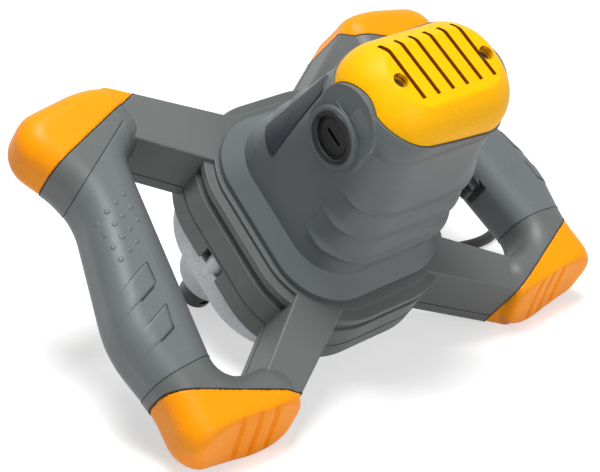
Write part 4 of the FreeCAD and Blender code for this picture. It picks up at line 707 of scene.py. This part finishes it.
def bare_wall(surface, outward):
    """The reach of the motor's wall by level, read at levels that no rib covers."""
    found = [reach_of(surface, outward, level) for level in RIB_BARE]

    def wall(level):
        last = len(RIB_BARE) - 2
        index = next((i for i in range(last + 1) if level < RIB_BARE[i + 1]), last)
        share = (level - RIB_BARE[index]) / (RIB_BARE[index + 1] - RIB_BARE[index])
        return found[index] + share * (found[index + 1] - found[index])

    return wall


def make_ribs():
    """One skin over the solid's ribs, whose ends sink into the wall."""
    surface = tree_of("motor_housing")
    bm = bmesh.new()
    rows = []
    for step in range(RIB_STEPS + 1):
        share = step / RIB_STEPS
        angle = math.radians(RIB_TURN[0] + (RIB_TURN[1] - RIB_TURN[0]) * share)
        outward = along(-math.cos(angle), -math.sin(angle), 0)
        wall = bare_wall(surface, outward)
        end = min(1, min(step, RIB_STEPS - step) / RIB_ENDS)
        proud = end * end * (3 - 2 * end)
        lips = [level + rise * (2 * share - 1) ** 2 for level, rise in RIB_LIPS]
        profile = [(lips[0] + RIB_START[0], RIB_START[1])]
        profile += [(level + up, lift) for level in lips for up, lift in RIB_LIP]
        profile += [(lips[-1] + up, lift) for up, lift in RIB_FINISH]
        row = []
        for level, lift in profile:
            reach = wall(level) + lift * proud - RIB_SINK * (1 - proud)
            row.append(bm.verts.new(rest(0, 0, level) + outward * (reach * MM)))
        rows.append(row)
    for one, other in zip(rows, rows[1:]):
        for index in range(len(one) - 1):
            bm.faces.new((one[index], one[index + 1], other[index + 1], other[index]))
    piece_from(bm, "motor_rib_lips", "motor")


make_ribs()

# Bare label plate wrapped on the motor's left side: degrees round the motor's axis, and W.
LABEL_CORNERS = [(22, 54), (44, 54), (40, 115), (27, 113)]
LABEL_ROUND = 3
LABEL_LIFT = 0.45
LABEL_ROOT = -2.2
LABEL_RINGS = [(1.0, LABEL_ROOT), (1.0, 0.7 * LABEL_LIFT)]
LABEL_RINGS += [(share, LABEL_LIFT) for share in (0.98, 0.85, 0.7, 0.55, 0.4, 0.25, 0.1)]
LABEL_CRESTS = (60.5, 78.0)


def make_label():
    """The plate, which lies on the crests of the solid's ribs."""
    surface = tree_of("motor_housing")

    def drop(spot):
        turn = math.radians(spot.x)
        outward = along(-math.cos(turn), math.sin(turn), 0)
        wall = bare_wall(surface, outward)
        crest = max(reach_of(surface, outward, level) - wall(level) for level in LABEL_CRESTS)
        reach = max(wall(spot.y) + crest, reach_of(surface, outward, spot.y))
        return rest(0, 0, spot.y) + outward * (reach * MM), outward

    bm = bmesh.new()
    patch(bm, rounded_corners(LABEL_CORNERS, LABEL_ROUND), LABEL_RINGS, drop)
    piece_from(bm, "label_plate", "label")


make_label()

# Flanges of the brush caps, on the ends of their bosses: U and W of the middle, and radius and lift.
FLANGE_PLACE = (53.5, 107.0)
FLANGE_PROFILE = [(11.6, -0.3), (12.1, 0.45), (12.8, 0.8), (14.0, 0.8), (14.7, 0.4), (14.9, -0.3)]
FLANGE_SIDES = 64


def make_flange(side, sign):
    """A low ring round a brush cap."""
    bm = bmesh.new()
    rings = []
    for radius, lift in FLANGE_PROFILE:
        ring = []
        for step in range(FLANGE_SIDES):
            turn = math.tau * step / FLANGE_SIDES
            ring.append(bm.verts.new(rest(sign * (FLANGE_PLACE[0] + lift), radius * math.cos(turn),
                                          FLANGE_PLACE[1] + radius * math.sin(turn))))
        rings.append(ring)
    stitch(bm, rings)
    piece_from(bm, "brush_cap_flange_" + side, "gloss")


make_flange("left", -1)
make_flange("right", 1)

# Seams: thin dark tubes of painted shade where two mouldings meet, standing in for the shadow in the gap between
# them. Radii and levels in millimetres, shortest lengths in metres; the other numbers are cosines.
SEAM_RADIUS = 0.33
SAME_WAY = 0.999
BUMPER_SEAM_LEAST = 0.08
BUMPER_INWARD = 0.4
BUMPER_UPRIGHT = 0.05
GRIP_SEAM_LEAST = 0.06
GRIP_END = 0.6
GRIP_UPRIGHT = 0.02
SHELL_SEAM_LEAST = 0.25
SHELL_SEAM_LEVEL = -13
SHELL_SEAM_NEAR = 0.3
SHELL_SEAM_RADIUS = 0.3


def rims(node, faces_kept, least):
    """Closed edges round the faces of a node that are kept, at least that long, in metres."""
    bm = bmesh.new()
    bm.from_mesh(frame["nodes"][node].data)
    bmesh.ops.remove_doubles(bm, verts=bm.verts[:], dist=WELD)
    bm.normal_update()
    kept = {face for face in bm.faces if faces_kept(face)}
    ways = {}
    for edge in bm.edges:
        if sum(face in kept for face in edge.link_faces) == 1:
            one, other = edge.verts
            ways.setdefault(one, []).append(other)
            ways.setdefault(other, []).append(one)
    loops, seen = [], set()
    for start in ways:
        if start in seen:
            continue
        loop, here = [], start
        while here is not None:
            seen.add(here)
            loop.append(here.co.copy())
            here = next((vert for vert in ways[here] if vert not in seen), None)
        if sum((a - b).length for a, b in zip(loop, loop[1:])) >= least:
            loops.append(loop)
    bm.free()
    return loops


def make_seam(name, loops, radius=SEAM_RADIUS):
    """Thin closed tubes along some loops."""
    curve = bpy.data.curves.new(name, "CURVE")
    curve.dimensions = "3D"
    curve.bevel_depth = radius * MM
    curve.bevel_resolution = 1
    for loop in loops:
        spline = curve.splines.new("POLY")
        spline.points.add(len(loop) - 1)
        for target, point in zip(spline.points, loop):
            target.co = (*point, 1)
        spline.use_cyclic_u = True
    curve.materials.append(LOOKS["seam"])
    piece = link(bpy.data.objects.new(name, curve))
    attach(piece, "tool")


def flat_end(node):
    """The direction of the largest flat side of a node that looks back to the tool's middle."""
    bm = bmesh.new()
    bm.from_mesh(frame["nodes"][node].data)
    low, high = (Vector(corner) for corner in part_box(node))
    inward = (ORIGIN - (low + high) / 2).normalized()
    areas = {}
    for face in bm.faces:
        if face.normal.dot(inward) > BUMPER_INWARD and abs(face.normal.dot(W)) < BUMPER_UPRIGHT:
            key = tuple(round(c, 2) for c in face.normal)
            areas[key] = areas.get(key, 0) + face.calc_area()
    bm.free()
    return Vector(max(areas, key=areas.get))


def grip_end(face):
    """Whether a grip's face is one of its upright ends."""
    return abs(face.normal.dot(V)) > GRIP_END and abs(face.normal.dot(W)) < GRIP_UPRIGHT


def shell_joint(face):
    """Whether a face of the lower shell is where the upper shell lies on it."""
    above = (face.calc_center_median() - ORIGIN).dot(W) - SHELL_SEAM_LEVEL * MM
    return face.normal.dot(W) > SAME_WAY and abs(above) < SHELL_SEAM_NEAR * MM


for name in ("front_left", "front_right", "back_left", "back_right"):
    facing = flat_end("bumper_" + name)
    ends = rims("bumper_" + name, lambda face: face.normal.dot(facing) > SAME_WAY, BUMPER_SEAM_LEAST)
    make_seam("seam_bumper_" + name, ends[:1])
for side in ("left", "right"):
    make_seam("seam_grip_" + side, rims("grip_" + side, grip_end, GRIP_SEAM_LEAST))
make_seam("seam_shells", rims("handle_frame_lower", shell_joint, SHELL_SEAM_LEAST), SHELL_SEAM_RADIUS)

# Floor, light and world: places and widths in metres, power in watts.
FLOOR_HALF = 1.6
FLOOR_ALBEDO = 0.68
FLOOR_GLOW = 0.54
WORLD_LEVEL = 0.2
WORLD_SEEN = 1.0
KEY_LIGHT = {"place": (-0.2, -0.1, 1.75), "target": (0, 0, 0.08), "width": 0.75, "power": 34}
FRONT_LIGHT = {"place": (-0.3, -1.9, 0.8), "target": (0, 0, 0.1), "width": 0.7, "power": 13}


def seen_rays(tree):
    """1 for what the camera sees, straight, in a reflection or through glass, and 0 for other rays."""
    path = tree.nodes.new("ShaderNodeLightPath")
    total = path.outputs["Is Camera Ray"]
    for name in ("Is Glossy Ray", "Is Transmission Ray"):
        step = tree.nodes.new("ShaderNodeMath")
        step.operation = "MAXIMUM"
        tree.links.new(total, step.inputs[0])
        tree.links.new(path.outputs[name], step.inputs[1])
        total = step.outputs["Value"]
    return total


def make_floor():
    """A pale floor that keeps the shadow and glows a little where it is seen."""
    mesh = bpy.data.meshes.new("floor")
    half = FLOOR_HALF
    corners = [(-half, -half, 0), (half, -half, 0), (half, half, 0), (-half, half, 0)]
    mesh.from_pydata(corners, [], [(0, 1, 2, 3)])
    floor = link(bpy.data.objects.new("floor", mesh))
    look = Look("floor")
    look.set(Base_Color=(*grey(FLOOR_ALBEDO), 1), Roughness=0.95, Specular_IOR_Level=0.1)
    glow = look.add("ShaderNodeMath", [("operation", "MULTIPLY")])
    look.put(glow.inputs[0], seen_rays(look.tree))
    look.put(glow.inputs[1], FLOOR_GLOW)
    look.set(Emission_Color=(1, 1, 1, 1), Emission_Strength=glow.outputs["Value"])
    mesh.materials.append(look.made)


def make_light(name, place, target, width, power):
    """A square soft light."""
    data = bpy.data.lights.new(name, "AREA")
    data.shape = "RECTANGLE"
    data.size = width
    data.size_y = width
    data.energy = power
    light = link(bpy.data.objects.new(name, data))
    light.location = place
    light.rotation_euler = (Vector(target) - Vector(place)).to_track_quat("-Z", "Y").to_euler()


def make_world():
    """White where it is seen, and weaker as light."""
    world = bpy.data.worlds.new("world")
    world.use_nodes = True
    tree = world.node_tree
    back = tree.nodes["Background"]
    back.inputs["Color"].default_value = (1, 1, 1, 1)
    level = tree.nodes.new("ShaderNodeMapRange")
    level.inputs["To Min"].default_value = WORLD_LEVEL
    level.inputs["To Max"].default_value = WORLD_SEEN
    tree.links.new(seen_rays(tree), level.inputs["Value"])
    tree.links.new(level.outputs["Result"], back.inputs["Strength"])
    bpy.context.scene.world = world


make_floor()
make_world()
make_light("key", **KEY_LIGHT)
make_light("front", **FRONT_LIGHT)
bpy.context.scene.view_settings.view_transform = "Standard"

bpy.context.view_layer.update()
